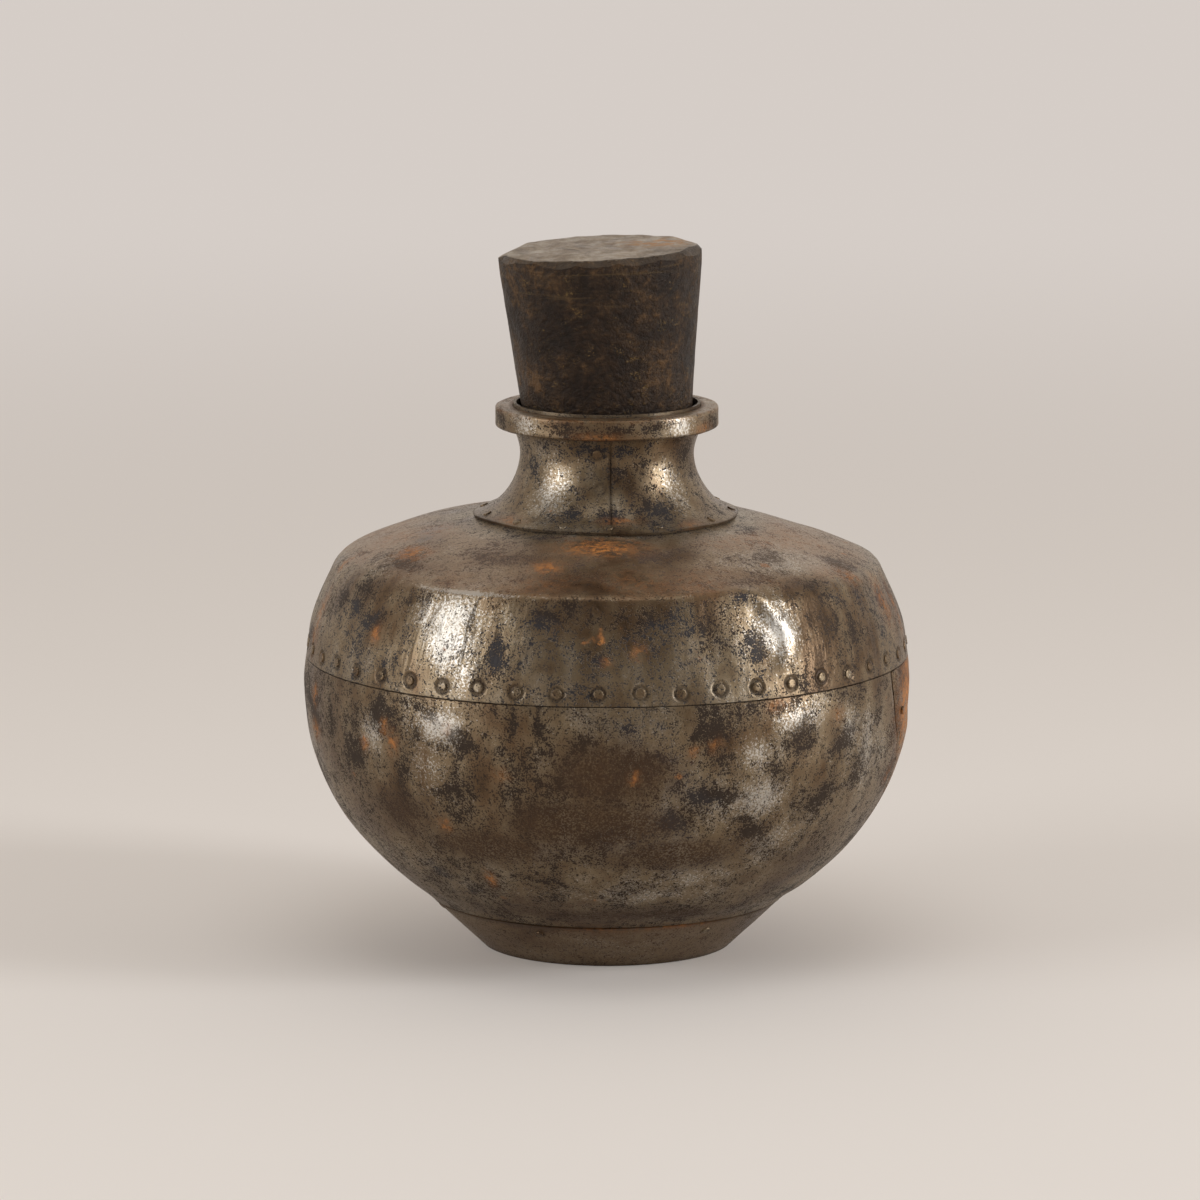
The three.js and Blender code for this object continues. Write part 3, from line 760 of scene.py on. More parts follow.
def bowl_path():
    """The bowl's outer face, from its edge tucked in the pan to its edge tucked under the skirt."""
    rise = math.radians(BOWL_RISE)
    start_handle = pan_edge + BOWL_RISE_LENGTH * np.array((math.sin(rise), math.cos(rise)))
    belly = np.array((BELLY_RADIUS, BELLY_HEIGHT))
    wall = bezier(pan_edge, start_handle, belly - np.array((0, BELLY_ROUND_LENGTH)), belly, 60)
    wall = [p for p in wall if np.linalg.norm(p - pan_edge) > BOWL_JOGGLE]
    in_pan = [pan_edge - pan_step * FOOT_LAP * share for share in (1.0, 0.5, 0.0)]
    tucked = offset_path(in_pan, -TUCK)
    below = skirt_edge - skirt_step * BOWL_JOGGLE
    round_top = bezier(belly, belly + np.array((0, 5 * MM)), below - skirt_step * 5 * MM, below, 6)
    in_skirt = [skirt_edge + skirt_step * SKIRT_LAP * share for share in (0.0, 0.5, 1.0)]
    under = offset_path(in_skirt, -TUCK)
    joggle = bezier(below, below + skirt_step * 0.8 * MM, under[0] - skirt_step * 0.8 * MM, under[0], 4)
    return np.array([*tucked, *wall, *round_top, *joggle, *under[1:]])


def flange_seat():
    """The flange's outer face where it starts to rise from the shoulder's seat."""
    return offset_path([seat_outer, seat_outer + seat_step], GAP + NECK_SHEET)[0]


def neck_path():
    """The neck's outer face, from the flange's edge to the lip."""
    base = flange_seat()
    edge = base + seat_step * (FLANGE_RADIUS - base[0]) / seat_step[0]
    root = base + seat_step * (FLANGE_RADIUS - FLANGE_WIDTH - base[0]) / seat_step[0]
    throat = np.array((THROAT_RADIUS, THROAT_HEIGHT))
    trumpet = bezier(root, root + seat_step * 9 * MM, throat - np.array((0, 14 * MM)), throat, 26)
    seat = np.array((RING_SEAT_RADIUS, RING_LOW[2]))
    bend = np.array((THROAT_RADIUS, (THROAT_HEIGHT + RING_LOW[2]) / 2 - MM))
    flare = rounded(throat, bend, seat, 0.66, 12)
    lip = np.array((LIP_RADIUS, LIP_HEIGHT))
    return np.array([edge, *straight(edge, root, 8), *trumpet, *flare, *straight(seat, lip, 10)])


# Rivets
def skirt_point(node):
    """The place on the skirt's face that a belly rivet stands on, and its outward direction."""
    low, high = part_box(node)
    centre = (np.array(low) + np.array(high)) / 2
    angle = math.degrees(math.atan2(centre[0], -centre[1]))
    lean = math.radians(SKIRT_LEAN)
    height = centre[2] + BELLY_RIVET_DEPTH * math.sin(lean)
    radius = SKIRT_RADIUS - (height - SKIRT_EDGE) * math.tan(lean)
    out = turned(angle) * math.cos(lean) + Vector((0, 0, math.sin(lean)))
    return turned(angle) * radius + Vector((0, 0, height)), out


def path_point(path, angle, height):
    """The place on a path at an angle and height, and its outward direction."""
    i = int(np.argmin(np.abs(path[:, 1] - height)))
    along = path[i + 1] - path[i - 1]
    along = along / np.linalg.norm(along)
    out = turned(angle) * along[1] + Vector((0, 0, -along[0]))
    radius = float(np.interp(height, path[i - 1:i + 2, 1], path[i - 1:i + 2, 0]))
    return turned(angle) * radius + Vector((0, 0, height)), out


def flange_point(angle):
    """The place on the neck's flange that a rivet stands on, and its outward direction."""
    base = flange_seat()
    spot = base + seat_step * (FLANGE_RIVET_RADIUS - base[0]) / seat_step[0]
    rise = math.radians(SEAT_RISE)
    out = turned(angle) * math.sin(rise) + Vector((0, 0, math.cos(rise)))
    return turned(angle) * spot[0] + Vector((0, 0, spot[1])), out


def foot_point(angle):
    """The place on the foot pan that a rivet stands on, and its outward direction."""
    spot = pan_edge - pan_step * FOOT_RIVET_INSET
    out = turned(angle) * pan_step[1] - Vector((0, 0, pan_step[0]))
    return turned(angle) * spot[0] + Vector((0, 0, spot[1])), out


def dimple(points, place, out, size=1.0):
    """Depth of the ring that the rivet set pressed into the sheet round a head, and the share by which the
    ring is painted dark.
    """
    offset = points - np.array(place)
    level = offset @ np.array(out)
    distance = np.sqrt(np.maximum((offset ** 2).sum(axis=1) - level ** 2, 0.0)) / size
    near = np.abs(level) < 8 * MM
    ring = bump_at(distance, DIMPLE_RADIUS, 1.25 * MM) * near
    lip = bump_at(distance, DIMPLE_RADIUS + 2.0 * MM, 0.8 * MM) * near
    return (0.75 * MM * ring - 0.14 * MM * lip) * size, ring


def model_rivet(name, grip, head, rise):
    """A rivet along +Z: a low head rounded by wear, standing on the sheet, its shank, and its tail peened
    over.
    """
    path = [
        (0.0, -grip - TAIL_LENGTH), (TAIL_RADIUS * 0.6, -grip - TAIL_LENGTH * 0.9),
        (TAIL_RADIUS, -grip), (SHANK_RADIUS, -grip), (SHANK_RADIUS, 0.0), (head, 0.0),
        (head, rise * 0.50), (head * 0.96, rise * 0.74), (head * 0.88, rise * 0.90),
        (head * 0.75, rise * 0.97), (head * 0.45, rise * 0.99), (0.0, rise),
    ]
    rivet = spin_path(name, [np.array(p) for p in path], 0.0, 360.0, 20)
    points = get_points(rivet)
    upper = smooth(0.0, rise, points[:, 2])
    points[:, 2] += 0.12 * MM * lumps(points, 2.4 * MM, 21) * upper
    points[:, :2] *= (1 + 0.03 * lumps(points, 4.0 * MM, 22) * upper)[:, None]
    set_points(rivet, points)
    return rivet


def copy_rivet(rivet, name, place, out, turn, sink=0.0, rust=()):
    """A copy of a rivet at a place, with a turn on itself in radians and its head sunk a little."""
    copy = rivet.copy()
    copy.data = rivet.data.copy()
    copy.name = name
    copy.data.name = name
    bpy.context.scene.collection.objects.link(copy)
    upright = Vector((0, 0, 1)).rotation_difference(out).to_matrix().to_4x4()
    move = Matrix.Translation(place - out * sink) @ upright @ Matrix.Rotation(turn, 4, "Z")
    copy.data.transform(move)
    paint(copy, "rust", patches(get_points(copy), rust))
    return copy


def join_rivets(piece, name, spots, sink, rust=()):
    """Sets a small rivet at each spot and joins them to the piece that carries them."""
    rivets = [copy_rivet(small_rivet, name, place, out, turn, sink, rust) for place, out, turn in spots]
    pick(piece)
    for rivet in rivets:
        rivet.select_set(True)
    bpy.ops.object.join()


# Shoulder, whose stains, wear and painted highlights are patches as the next tables give them
SKIRT_DARK = (
    (-67, 246, 9, 9, 1.0), (-59, 255, 12, 5, 0.9), (-53, 239, 10, 6, 1.0), (-61, 244, 8, 5, 0.9),
    (-12, 249, 15, 8, 0.9), (-8, 259, 5, 3, 1.1), (20, 246, 14, 11, 1.0), (30, 231, 6, 14, 1.2),
    (50, 240, 20, 20, 0.45), (56, 236, 4, 14, 1.5), (44, 241, 2, 5, 1.3), (48, 235, 2, 5, 1.2),
    (52, 242, 1.5, 5, 1.1), (-22, 229, 5, 17, 1.5), (-28, 244, 3, 10, 0.8), (29, 261, 9, 3, 1.0),
    (6, 238, 12, 8, 0.6), (-2, 228, 10, 8, 0.5), (66, 238, 16, 22, 0.35), (8, 250, 40, 5, 0.4),
    (62, 250, 7, 7, 0.7), (-40, 250, 5, 8, 0.6),
    (48, 262, 10, 4, 0.6), (-33, 279, 30, 3, 0.9), (14, 281, 22, 2.5, 0.8), (48, 277, 24, 3, 0.9),
    (-58, 272, 30, 4, 0.9), (34, 270, 26, 3, 0.7), (-10, 272, 26, 3, 0.7), (70, 268, 26, 5, 0.8),
)
SKIRT_RUST = (
    (-51, 230, 4, 5, 1.0), (6, 231, 4, 4, 0.9), (0, 225, 3, 3, 0.8), (-16, 277, 10, 2.5, 0.9),
    (-2, 285, 26, 3.0, 1.0), (-60, 275, 14, 3, 0.8), (64, 262, 10, 6, 0.5), (82, 230, 8, 20, 0.5),
    (74, 240, 10, 16, 0.5), (-78, 225, 8, 18, 0.6),
)
# Rubbed steel and painted highlights: the strongest patches lie where the lamps reflect on the wall
SKIRT_WEAR_AND_HIGHLIGHT = (
    (-33, 250, 34, 12, 0.8), (-31, 232, 20, 18, 0.8), (-28, 214, 9, 14, 0.7), (36, 238, 24, 22, 0.85),
    (-60, 270, 40, 10, 0.4), (50, 275, 50, 8, 0.6),
)


def make_shoulder(material):
    soft = shoulder_path(SOFT_CREASE)
    sharp = shoulder_path(SHARP_CREASE)
    piece = spin_path("pot_shoulder", soft, start=-180.0, sweep=360.0, steps=360)
    face_outward(piece)
    points = get_points(piece)
    radius = round_radius(points)
    row = path_rows(soft, points)
    crisp = 0.95 * band(round_angle(points), SHARP_CREASE_BAND) + 0.08
    crisp = np.clip(crisp + 0.15 * lumps(points, 0.05, 3), 0, 1)
    goal = soft[row] + (sharp[row] - soft[row]) * crisp[:, None]
    side = points[:, :2] / radius[:, None]
    set_points(piece, np.column_stack((side * goal[:, :1], goal[:, 1])))

    places = [skirt_point(node) for node in belly_nodes]
    refine_near(piece, [place for place, out in places], DIMPLE_REACH, cuts=3)
    points = get_points(piece)
    height = points[:, 2]
    angle = round_angle(points)
    radius = round_radius(points)
    wall = band(height, SKIRT_BAND)
    top = band(height, SHOULDER_TOP_BAND)

    # Upright hammer strokes and facets on the wall, and slow waves on the top
    across = np.radians(angle) * CREASE_RADIUS - STROKE_SLANT * height
    flutes = strokes(across, height, 12 * MM, 45 * MM, 1)
    facets = dishes(points, (0.042, 0.042, 0.060), 2) - 0.45
    move = wall * (0.34 * MM * flutes + 1.0 * MM * facets) + top * 0.8 * MM * lumps(points, 0.05, 4)
    move += 0.5 * MM * lumps(points, 0.10, 5) * band(height, SHOULDER_WAVE_BAND)

    # The dish, with the ridge round it that catches the light
    dish_across = wrap(angle - DISH_ANGLE) / DISH_HALF_ANGLE
    dish = np.sqrt(dish_across ** 2 + ((height - DISH_HEIGHT) / DISH_HALF_HEIGHT) ** 2)
    dish += 0.16 * lumps(points, 0.022, 6)
    ridge = bump_at(dish, 1.12, 0.17) * smooth(22, 31, angle) * smooth(0.212, 0.220, height)
    move += DISH_RIDGE * ridge - DISH_DEPTH * np.exp(-dish ** 4)

    # The top has sunk on its right and stands a little higher on its left
    sunk = 4.0 * MM * band(angle, SUNK_BAND) * bump_at(radius, 0.155, 0.034)
    raised = 1.2 * MM * band(angle, RAISED_BAND) * bump_at(radius, 0.130, 0.025)
    move -= smooth(0.255, 0.266, height) * (sunk - raised)

    dirt_and_shade = 0.5 * bump_at(height, SKIRT_EDGE, 0.4 * MM)
    for place, out in places:
        depth, ring = dimple(points, place, out)
        move -= depth
        dirt_and_shade = np.maximum(dirt_and_shade, ring)
    push(piece, move)
    paint(piece, "dirt_and_shade", dirt_and_shade * (0.75 + 0.35 * lumps(points, 0.008, 9)))
    paint(piece, "dark", patches(points, [*SKIRT_DARK, *scattered(26, 1, 208, 262, 12, 9)]))
    rust = patches(points, [*SKIRT_RUST, *scattered(10, 2, 215, 284, 6, 5)])
    rusty_top = 0.32 * top * np.clip(lumps(points, 0.045, 40) + 0.15, 0, 1)
    paint(piece, "rust", np.maximum(rust, rusty_top))
    # Rubbed steel, with painted highlights where the lamps reflect
    wear_and_highlight = patches(points, [*SKIRT_WEAR_AND_HIGHLIGHT, *scattered(6, 3, 215, 255, 26, 20, 0.5)])
    # A bright line painted along the crease as a highlight, partly a rubbed edge, brightest on the left
    # where the left lamp reflects
    edge = bump_at(height, CREASE_HEIGHT - MM, 1.6 * MM) * band(angle, SHARP_CREASE_BAND)
    edge *= 0.2 + 0.6 * bump_at(angle, -33, 12) + 0.5 * lumps(points, 0.020, 23)
    paint(piece, "wear_and_highlight", np.maximum(wear_and_highlight, edge))
    paint(piece, "smoke", 0.40 * top)
    fluted = np.maximum(bump_at(angle, -32, 13), 0.7 * bump_at(angle, 58, 14))
    paint(piece, "fluted", wall * np.maximum(0.22, fluted))
    keep_values(piece, "across", across)
    give_thickness(piece, SHEET)
    finish_piece(piece, material, "shoulder_iron", "pot", "shoulder_shell")


# Bowl
BOWL_DARK = (
    (-28, 170, 8, 8, 1.3), (-17.5, 184, 3, 9, 1.2), (-12.5, 183, 3, 8, 1.2), (20, 136, 21, 6, 1.2),
    (39, 168, 11, 9, 1.2), (50, 160, 9, 9, 1.2), (45, 126, 10, 13, 1.1), (30, 107, 10, 7, 1.2),
    (21, 178, 16, 14, 0.9), (-48, 182, 6, 10, 1.0), (-5, 172, 8, 7, 0.9), (4, 184, 5, 5, 0.9),
    (-38, 171, 4, 8, 0.8), (10, 160, 12, 9, 0.8), (33, 150, 9, 7, 0.8), (55, 138, 8, 14, 0.8),
    (-55, 150, 10, 12, 0.6), (-42, 140, 7, 18, 0.8), (-30, 135, 14, 8, 0.7), (-10, 145, 16, 8, 0.6),
    (62, 172, 5, 12, 0.7), (-65, 165, 6, 14, 0.6), (35, 190, 10, 5, 0.8), (12, 120, 14, 8, 0.6),
)
BOWL_RUST = (
    (-52, 159, 3, 4, 1.0), (-44, 163, 4, 6, 1.0), (-46, 173, 3, 4, 0.9), (-73, 179, 5, 6, 0.9),
    (-34, 111, 4, 4, 0.9), (-28, 72, 3, 5, 1.0), (5, 150, 2.5, 3, 1.2), (16, 166, 3, 3, 0.8),
    (82, 168, 28, 32, 1.1), (86, 120, 20, 30, 0.8), (33, 192, 5, 3, 0.7),
    (-31, 178, 2, 3, 0.7), (20, 170, 5, 4, 0.4), (-20, 150, 6, 4, 0.35), (48, 180, 6, 5, 0.4),
)
# Rubbed steel and painted highlights: the strongest patches lie where the lamps reflect below the seam
BOWL_WEAR_AND_HIGHLIGHT = (
    (-33, 178, 22, 14, 0.9), (-36, 150, 14, 22, 0.6), (30, 130, 26, 14, 0.65), (37, 183, 20, 14, 0.8),
    (28, 165, 16, 14, 0.6), (58, 150, 20, 30, 0.5), (0, 62, 90, 9, 0.3), (20, 75, 40, 8, 0.3),
    (36, 100, 34, 18, 0.45), (52, 170, 16, 16, 0.5), (-50, 168, 12, 14, 0.6),
)
BOWL_SMOKE = (
    (-5, 118, 60, 20, 1.0), (-25, 98, 50, 14, 0.9), (15, 95, 60, 13, 0.8), (-45, 115, 30, 22, 0.8),
    (0, 45, 100, 8, 0.7), (45, 80, 40, 12, 0.5), (0, 152, 46, 24, 1.0), (95, 110, 80, 30, 0.8),
    (180, 110, 90, 26, 0.9), (250, 110, 80, 26, 0.8),
)


def lean_of(height):
    """The side laps lean as they go down, in degrees."""
    return SEAM_LEAN * (smooth(SKIRT_EDGE, 0.115, height) - 0.35 * smooth(0.105, 0.075, height))


def make_bowl_half(name, node, start, tucked_ends, material):
    """Half a bowl from a start angle, with its ends stepped in under the other half's or lying on them."""
    path = bowl_path()
    piece = spin_path(name, path, start, HALF_SWEEP, steps=200)
    face_outward(piece)
    points = get_points(piece)
    angle = (round_angle(points) - start + 20.0) % 360.0 + start - 20.0
    radius = round_radius(points)
    height = points[:, 2]
    from_start = angle - start
    from_end = start + HALF_SWEEP - angle
    angle = angle + lean_of(height) * (smooth(45, 8, from_start) + smooth(45, 8, from_end))
    if tucked_ends:
        stepped, level = LAP_ANGLE + 0.2, LAP_ANGLE + 1.4
        radius = radius - TUCK * (smooth(level, stepped, from_start) + smooth(level, stepped, from_end))
    turn = np.radians(angle)
    points = np.column_stack((radius * np.sin(turn), -radius * np.cos(turn), height))
    set_points(piece, points)

    dents = dishes(points, (0.055, 0.055, 0.050), 6) - 0.45
    waves = lumps(points, 0.09, 7)
    ripples = lumps(points, (0.016, 0.016, 0.030), 8)
    fuller = smooth(0.164, 0.146, height) * (1.3 + 0.7 * np.sin(turn)) * MM
    relief = 0.7 * MM * dents + 0.8 * MM * waves + 0.15 * MM * ripples - 0.5 * MM + fuller
    move = band(height, BOWL_BAND) * relief
    # The ends that lie on top are hammered thin
    full = np.ones(len(points)) if tucked_ends else smooth(0.0, 1.6, np.minimum(from_start, from_end))
    move -= SHEET * (1 - THIN_EDGE) * (1 - full)
    # Two tool marks side by side under the seam
    for mark in TOOL_MARKS:
        across = np.radians(wrap(angle - mark)) * BELLY_RADIUS
        move -= 0.6 * MM * bump_at(across, 0, 2.6 * MM) * bump_at(height, TOOL_MARK_HEIGHT, 8 * MM)
    push(piece, move)

    points = get_points(piece)
    rims = np.maximum(
        0.8 * bump_at(height, SKIRT_EDGE - 0.2 * MM, 0.5 * MM),
        0.6 * bump_at(height, PAN_HEIGHT + MM, 1.2 * MM),
    )
    if tucked_ends:
        ends = 0.5 * (bump_at(from_start, LAP_ANGLE + 0.3, 0.3) + bump_at(from_end, LAP_ANGLE + 0.3, 0.3))
    else:
        ends = 0.3 * (bump_at(from_start, 0.0, 0.2) + bump_at(from_end, 0.0, 0.2))
    paint(piece, "dirt_and_shade", np.maximum(rims, ends) * (0.75 + 0.4 * lumps(points, 0.012, 10)))
    paint(piece, "dark", patches(points, [*BOWL_DARK, *scattered(46, 4, 105, 190, 13, 10)]))
    paint(piece, "rust", patches(points, [*BOWL_RUST, *scattered(16, 5, 60, 190, 5, 5)]))
    paint(piece, "wear_and_highlight", patches(points, [*BOWL_WEAR_AND_HIGHLIGHT, *scattered(14, 6, 110, 185, 24, 14, 0.4)]))
    paint(piece, "smoke", patches(points, BOWL_SMOKE))
    give_thickness(piece, SHEET, full, THIN_EDGE)
    if not tucked_ends:
        spots = [
            (*path_point(path, lap + float(lean_of(level)) + LAP_ANGLE / 2, level), i * 1.3)
            for lap in (RIGHT_LAP, LEFT_LAP) for i, level in enumerate(LAP_RIVET_LEVELS)
        ]
        join_rivets(piece, "lap_rivet", spots, 0.4 * MM, BOWL_RUST)
    finish_piece(piece, material, "bowl_iron", "pot", node)


# Foot pan
def make_pan(material):
    corner = np.array((FOOT_RADIUS - 1.6 * MM, 0.0))
    centre = np.array((0.0, 0.0))
    heel_curve = bezier(corner, corner + np.array((0.8 * MM, 0)), heel - pan_step * 0.8 * MM, heel, 4)
    path = [centre, *straight(centre, corner, 16), *heel_curve, *straight(heel, pan_edge, 14)]
    piece = spin_path("pot_foot_pan", np.array(path), start=-180.0, sweep=360.0, steps=240)
    if min(piece.data.polygons, key=lambda polygon: polygon.center.z).normal.z > 0:
        flip_faces(piece)
    points = get_points(piece)
    dents = 0.45 * MM * lumps(points, 0.05, 11) + 0.2 * MM * lumps(points, 0.018, 12) - 0.25 * MM
    push(piece, smooth(0.002, 0.010, points[:, 2]) * dents)
    points = get_points(piece)
    edge = bump_at(points[:, 2], PAN_HEIGHT, 0.0015)
    paint(piece, "dirt_and_shade", np.maximum(edge * 0.6, 0.6 * bump_at(points[:, 2], 0.0, 0.003)))
    paint(piece, "rust", patches(points, [(24, 33, 26, 1.5, 1.0), (0, 32, 30, 1.5, 0.6)]))
    paint(piece, "wear_and_highlight", patches(points, [(0, 18, 60, 10, 0.3)]))
    paint(piece, "smoke", np.full(len(points), 0.5))
    give_thickness(piece, SHEET)
    spots = [(*foot_point(angle), i * 1.7) for i, angle in enumerate(FOOT_RIVETS)]
    join_rivets(piece, "foot_rivet", spots, 0.3 * MM)
    finish_piece(piece, material, "foot_iron", "pot", "base_pan")


# Neck
NECK_DARK = (
    (-8, 341, 14, 5, 0.9), (10, 340, 12, 6, 0.8), (22, 331, 6, 7, 0.8), (-20, 300, 14, 4, 0.8),
    (8, 322, 8, 10, 0.9), (30, 302, 16, 5, 0.9), (60, 335, 10, 8, 0.8), (-55, 325, 8, 9, 0.6),
    (0, 300, 10, 4, 0.8), (100, 320, 14, 12, 0.9), (160, 310, 16, 10, 0.9), (215, 330, 14, 10, 0.9),
    (255, 305, 14, 7, 0.9),
)
NECK_RUST = ((6, 297, 12, 2, 0.6), (-50, 294, 12, 2, 0.5), (40, 293, 8, 2, 0.4))
# Rubbed steel and painted highlights: the front patches lie where the lamps reflect on the neck
NECK_WEAR_AND_HIGHLIGHT = (
    (-36, 314, 16, 20, 0.6), (44, 316, 12, 18, 0.5), (150, 320, 30, 12, 0.3), (250, 318, 20, 14, 0.5),
)


def make_neck(material):
    """One strip rolled round: its left end lies over its right, both thinned so that the lap is flush."""
    path = neck_path()
    start = NECK_SEAM - NECK_LAP
    sweep = 360.0 + NECK_LAP - 0.3
    piece = spin_path("pot_neck", path, start, sweep, NECK_STEPS)
    face_outward(piece)
    points = get_points(piece)
    turn = (np.arange(len(points)) // len(path)) * sweep / NECK_STEPS
    under = smooth(NECK_LAP + 0.2, NECK_LAP - 1.3, turn)
    over = smooth(sweep - NECK_LAP - 1.0, sweep - NECK_LAP + 0.5, turn)

    # The flange's edge wanders in and out
    radius = round_radius(points)
    row = path_rows(path, points)
    round_turn = np.radians(start + turn)
    wave = sum(size * np.sin(count * round_turn + phase) for size, count, phase in FLANGE_WAVES)
    spread = wave * np.clip(1 - row / 8, 0, 1)
    side = points[:, :2] / radius[:, None]
    radius = radius + spread
    height = points[:, 2] - spread * math.tan(math.radians(SEAT_RISE))
    points = np.column_stack((side * radius[:, None], height))
    set_points(piece, points)

    # Dents, which are shallow outward next to the plug, and the flange's lifted edge
    dents = 0.35 * MM * lumps(points, (0.016, 0.016, 0.024), 14) + 0.45 * MM * lumps(points, 0.035, 15)
    near_plug = smooth(0.318, 0.326, height)
    move = band(height, NECK_BAND) * np.where(dents < 0, dents * (1 - 0.8 * near_plug), dents)
    move += 0.6 * MM * np.clip(0.5 * lumps(points, 0.020, 16) + 0.2, 0, 1) * np.clip(1 - row / 5, 0, 1)
    # The seam: the upper end stands up a little and the strip beside it is pressed in, below the ring
    free = smooth(0.349, 0.346, height)
    pressed = smooth(NECK_LAP + 2.5, NECK_LAP + 0.2, turn) * (turn > NECK_LAP - 0.2)
    move += free * (0.22 * MM * smooth(sweep - 2.2, sweep, turn) - 0.35 * MM * pressed)
    move -= (NECK_SHEET - NECK_THIN_END) * under
    push(piece, move)

    points = get_points(piece)
    # Darker along the seam and round its rivets for dirt, along the flange's edge as a painted shadow line,
    # and just under and inside the rim ring as painted shade, partly dirt in the joint; the lip's top is
    # left lighter
    seam = bump_at(turn, NECK_LAP + 0.2, 0.9) + bump_at(turn, sweep, 0.5)
    dirt_and_shade = np.maximum(seam * smooth(0.349, 0.34, height), 0.8 * bump_at(row, 0, 0.8))
    for angle, level in NECK_SEAM_RIVETS.values():
        place, out = path_point(path, angle, level)
        dirt_and_shade = np.maximum(dirt_and_shade, 0.9 * dimple(points, place, out, 0.85)[1])
    shade_in_ring = smooth(0.3455, 0.3495, height) * (1 - 0.4 * smooth(0.3625, 0.3645, height))
    paint(piece, "dirt_and_shade", np.maximum(dirt_and_shade, 0.9 * shade_in_ring) * (0.8 + 0.3 * lumps(points, 0.010, 17)))
    paint(piece, "dark", patches(points, NECK_DARK))
    paint(piece, "rust", patches(points, NECK_RUST))
    paint(piece, "wear_and_highlight", patches(points, NECK_WEAR_AND_HIGHLIGHT))
    give_thickness(piece, NECK_SHEET, 1 - np.maximum(under, over), NECK_THIN_END / NECK_SHEET)
    spots = [(*flange_point(angle), i * 1.1) for i, angle in enumerate(FLANGE_RIVETS)]
    join_rivets(piece, "flange_rivet", spots, 0.3 * MM)
    finish_piece(piece, material, "neck_iron", "pot", "neck_collar")


# Rim ring
RING_DARK = (
    (-20, 357, 16, 6, 0.8), (5, 357, 10, 6, 0.9), (25, 357, 10, 6, 0.7), (70, 357, 12, 6, 0.8),
    (-70, 357, 10, 6, 0.8), (130, 357, 20, 6, 0.9), (200, 357, 20, 6, 0.9), (250, 357, 14, 6, 0.8),
)
# Rubbed steel and painted highlights: the front patches lie where the lamps reflect on the ring
RING_WEAR_AND_HIGHLIGHT = ((-48, 357, 14, 8, 0.7), (42, 357, 12, 8, 0.7), (160, 357, 20, 8, 0.7))
RING_RUST = ((-5, 352, 20, 3, 0.4), (60, 353, 10, 4, 0.5), (0, 364, 400, 3, 0.18))


def make_ring(material):
    low, high = RING_LOW[2], RING_HIGH[2]
    outer = RING_HIGH[0]
    edge = 2.0 * MM
    slope = (LIP_RADIUS - RING_SEAT_RADIUS) / (LIP_HEIGHT - low)
    bore = [RING_SEAT_RADIUS + GAP + slope * (height - low) for height in (low, low + edge, high)]
    under = np.array((bore[0] + edge, low))
    low_in, low_corner, low_out = np.array(((outer - edge, low), (outer, low), (outer, low + edge)))
    high_out, high_corner, high_in = np.array(((outer, high - edge), (outer, high), (outer - edge, high)))
    bore_low, bore_high = np.array(((bore[1], low + edge), (bore[2], high)))
    path = [
        under, *straight(under, low_in, 5), *rounded(low_in, low_corner, low_out, 0.6, 4),
        *straight(low_out, high_out, 8), *rounded(high_out, high_corner, high_in, 0.6, 4),
        *straight(high_in, bore_high, 5), *straight(bore_high, bore_low, 6),
        *straight(bore_low, under, 2),
    ]
    piece = spin_path("pot_rim_ring", np.array(path), start=-180.0, sweep=360.0, steps=300)
    points = get_points(piece)
    hammered = 0.45 * MM * lumps(points, 0.030, 18) + 0.18 * MM * lumps(points, 0.009, 19)
    push(piece, np.minimum(hammered - 0.25 * MM, 0.0))
    points = get_points(piece)
    radius = round_radius(points)
    # Painted shade: darker in the bore, where the gap beside the stopper lies in shadow, and along the
    # underside, partly dirt in the joint with the neck
    bore_shade = smooth(0.0655, 0.0640, radius) * 0.7
    paint(piece, "dirt_and_shade", np.maximum(bore_shade, 0.5 * smooth(low + 0.002, low, points[:, 2])))
    paint(piece, "dark", patches(points, RING_DARK))
    on_top = smooth(high - 0.6 * MM, high - 0.2 * MM, points[:, 2])
    paint(piece, "wear_and_highlight", np.maximum(patches(points, RING_WEAR_AND_HIGHLIGHT), 0.15 * on_top))
    lip_rust = 0.5 * smooth(0.0665, 0.0635, radius) * on_top
    paint(piece, "rust", np.maximum(patches(points, RING_RUST), lip_rust))
    finish_piece(piece, material, "ring_iron", "pot", "rim_ring")


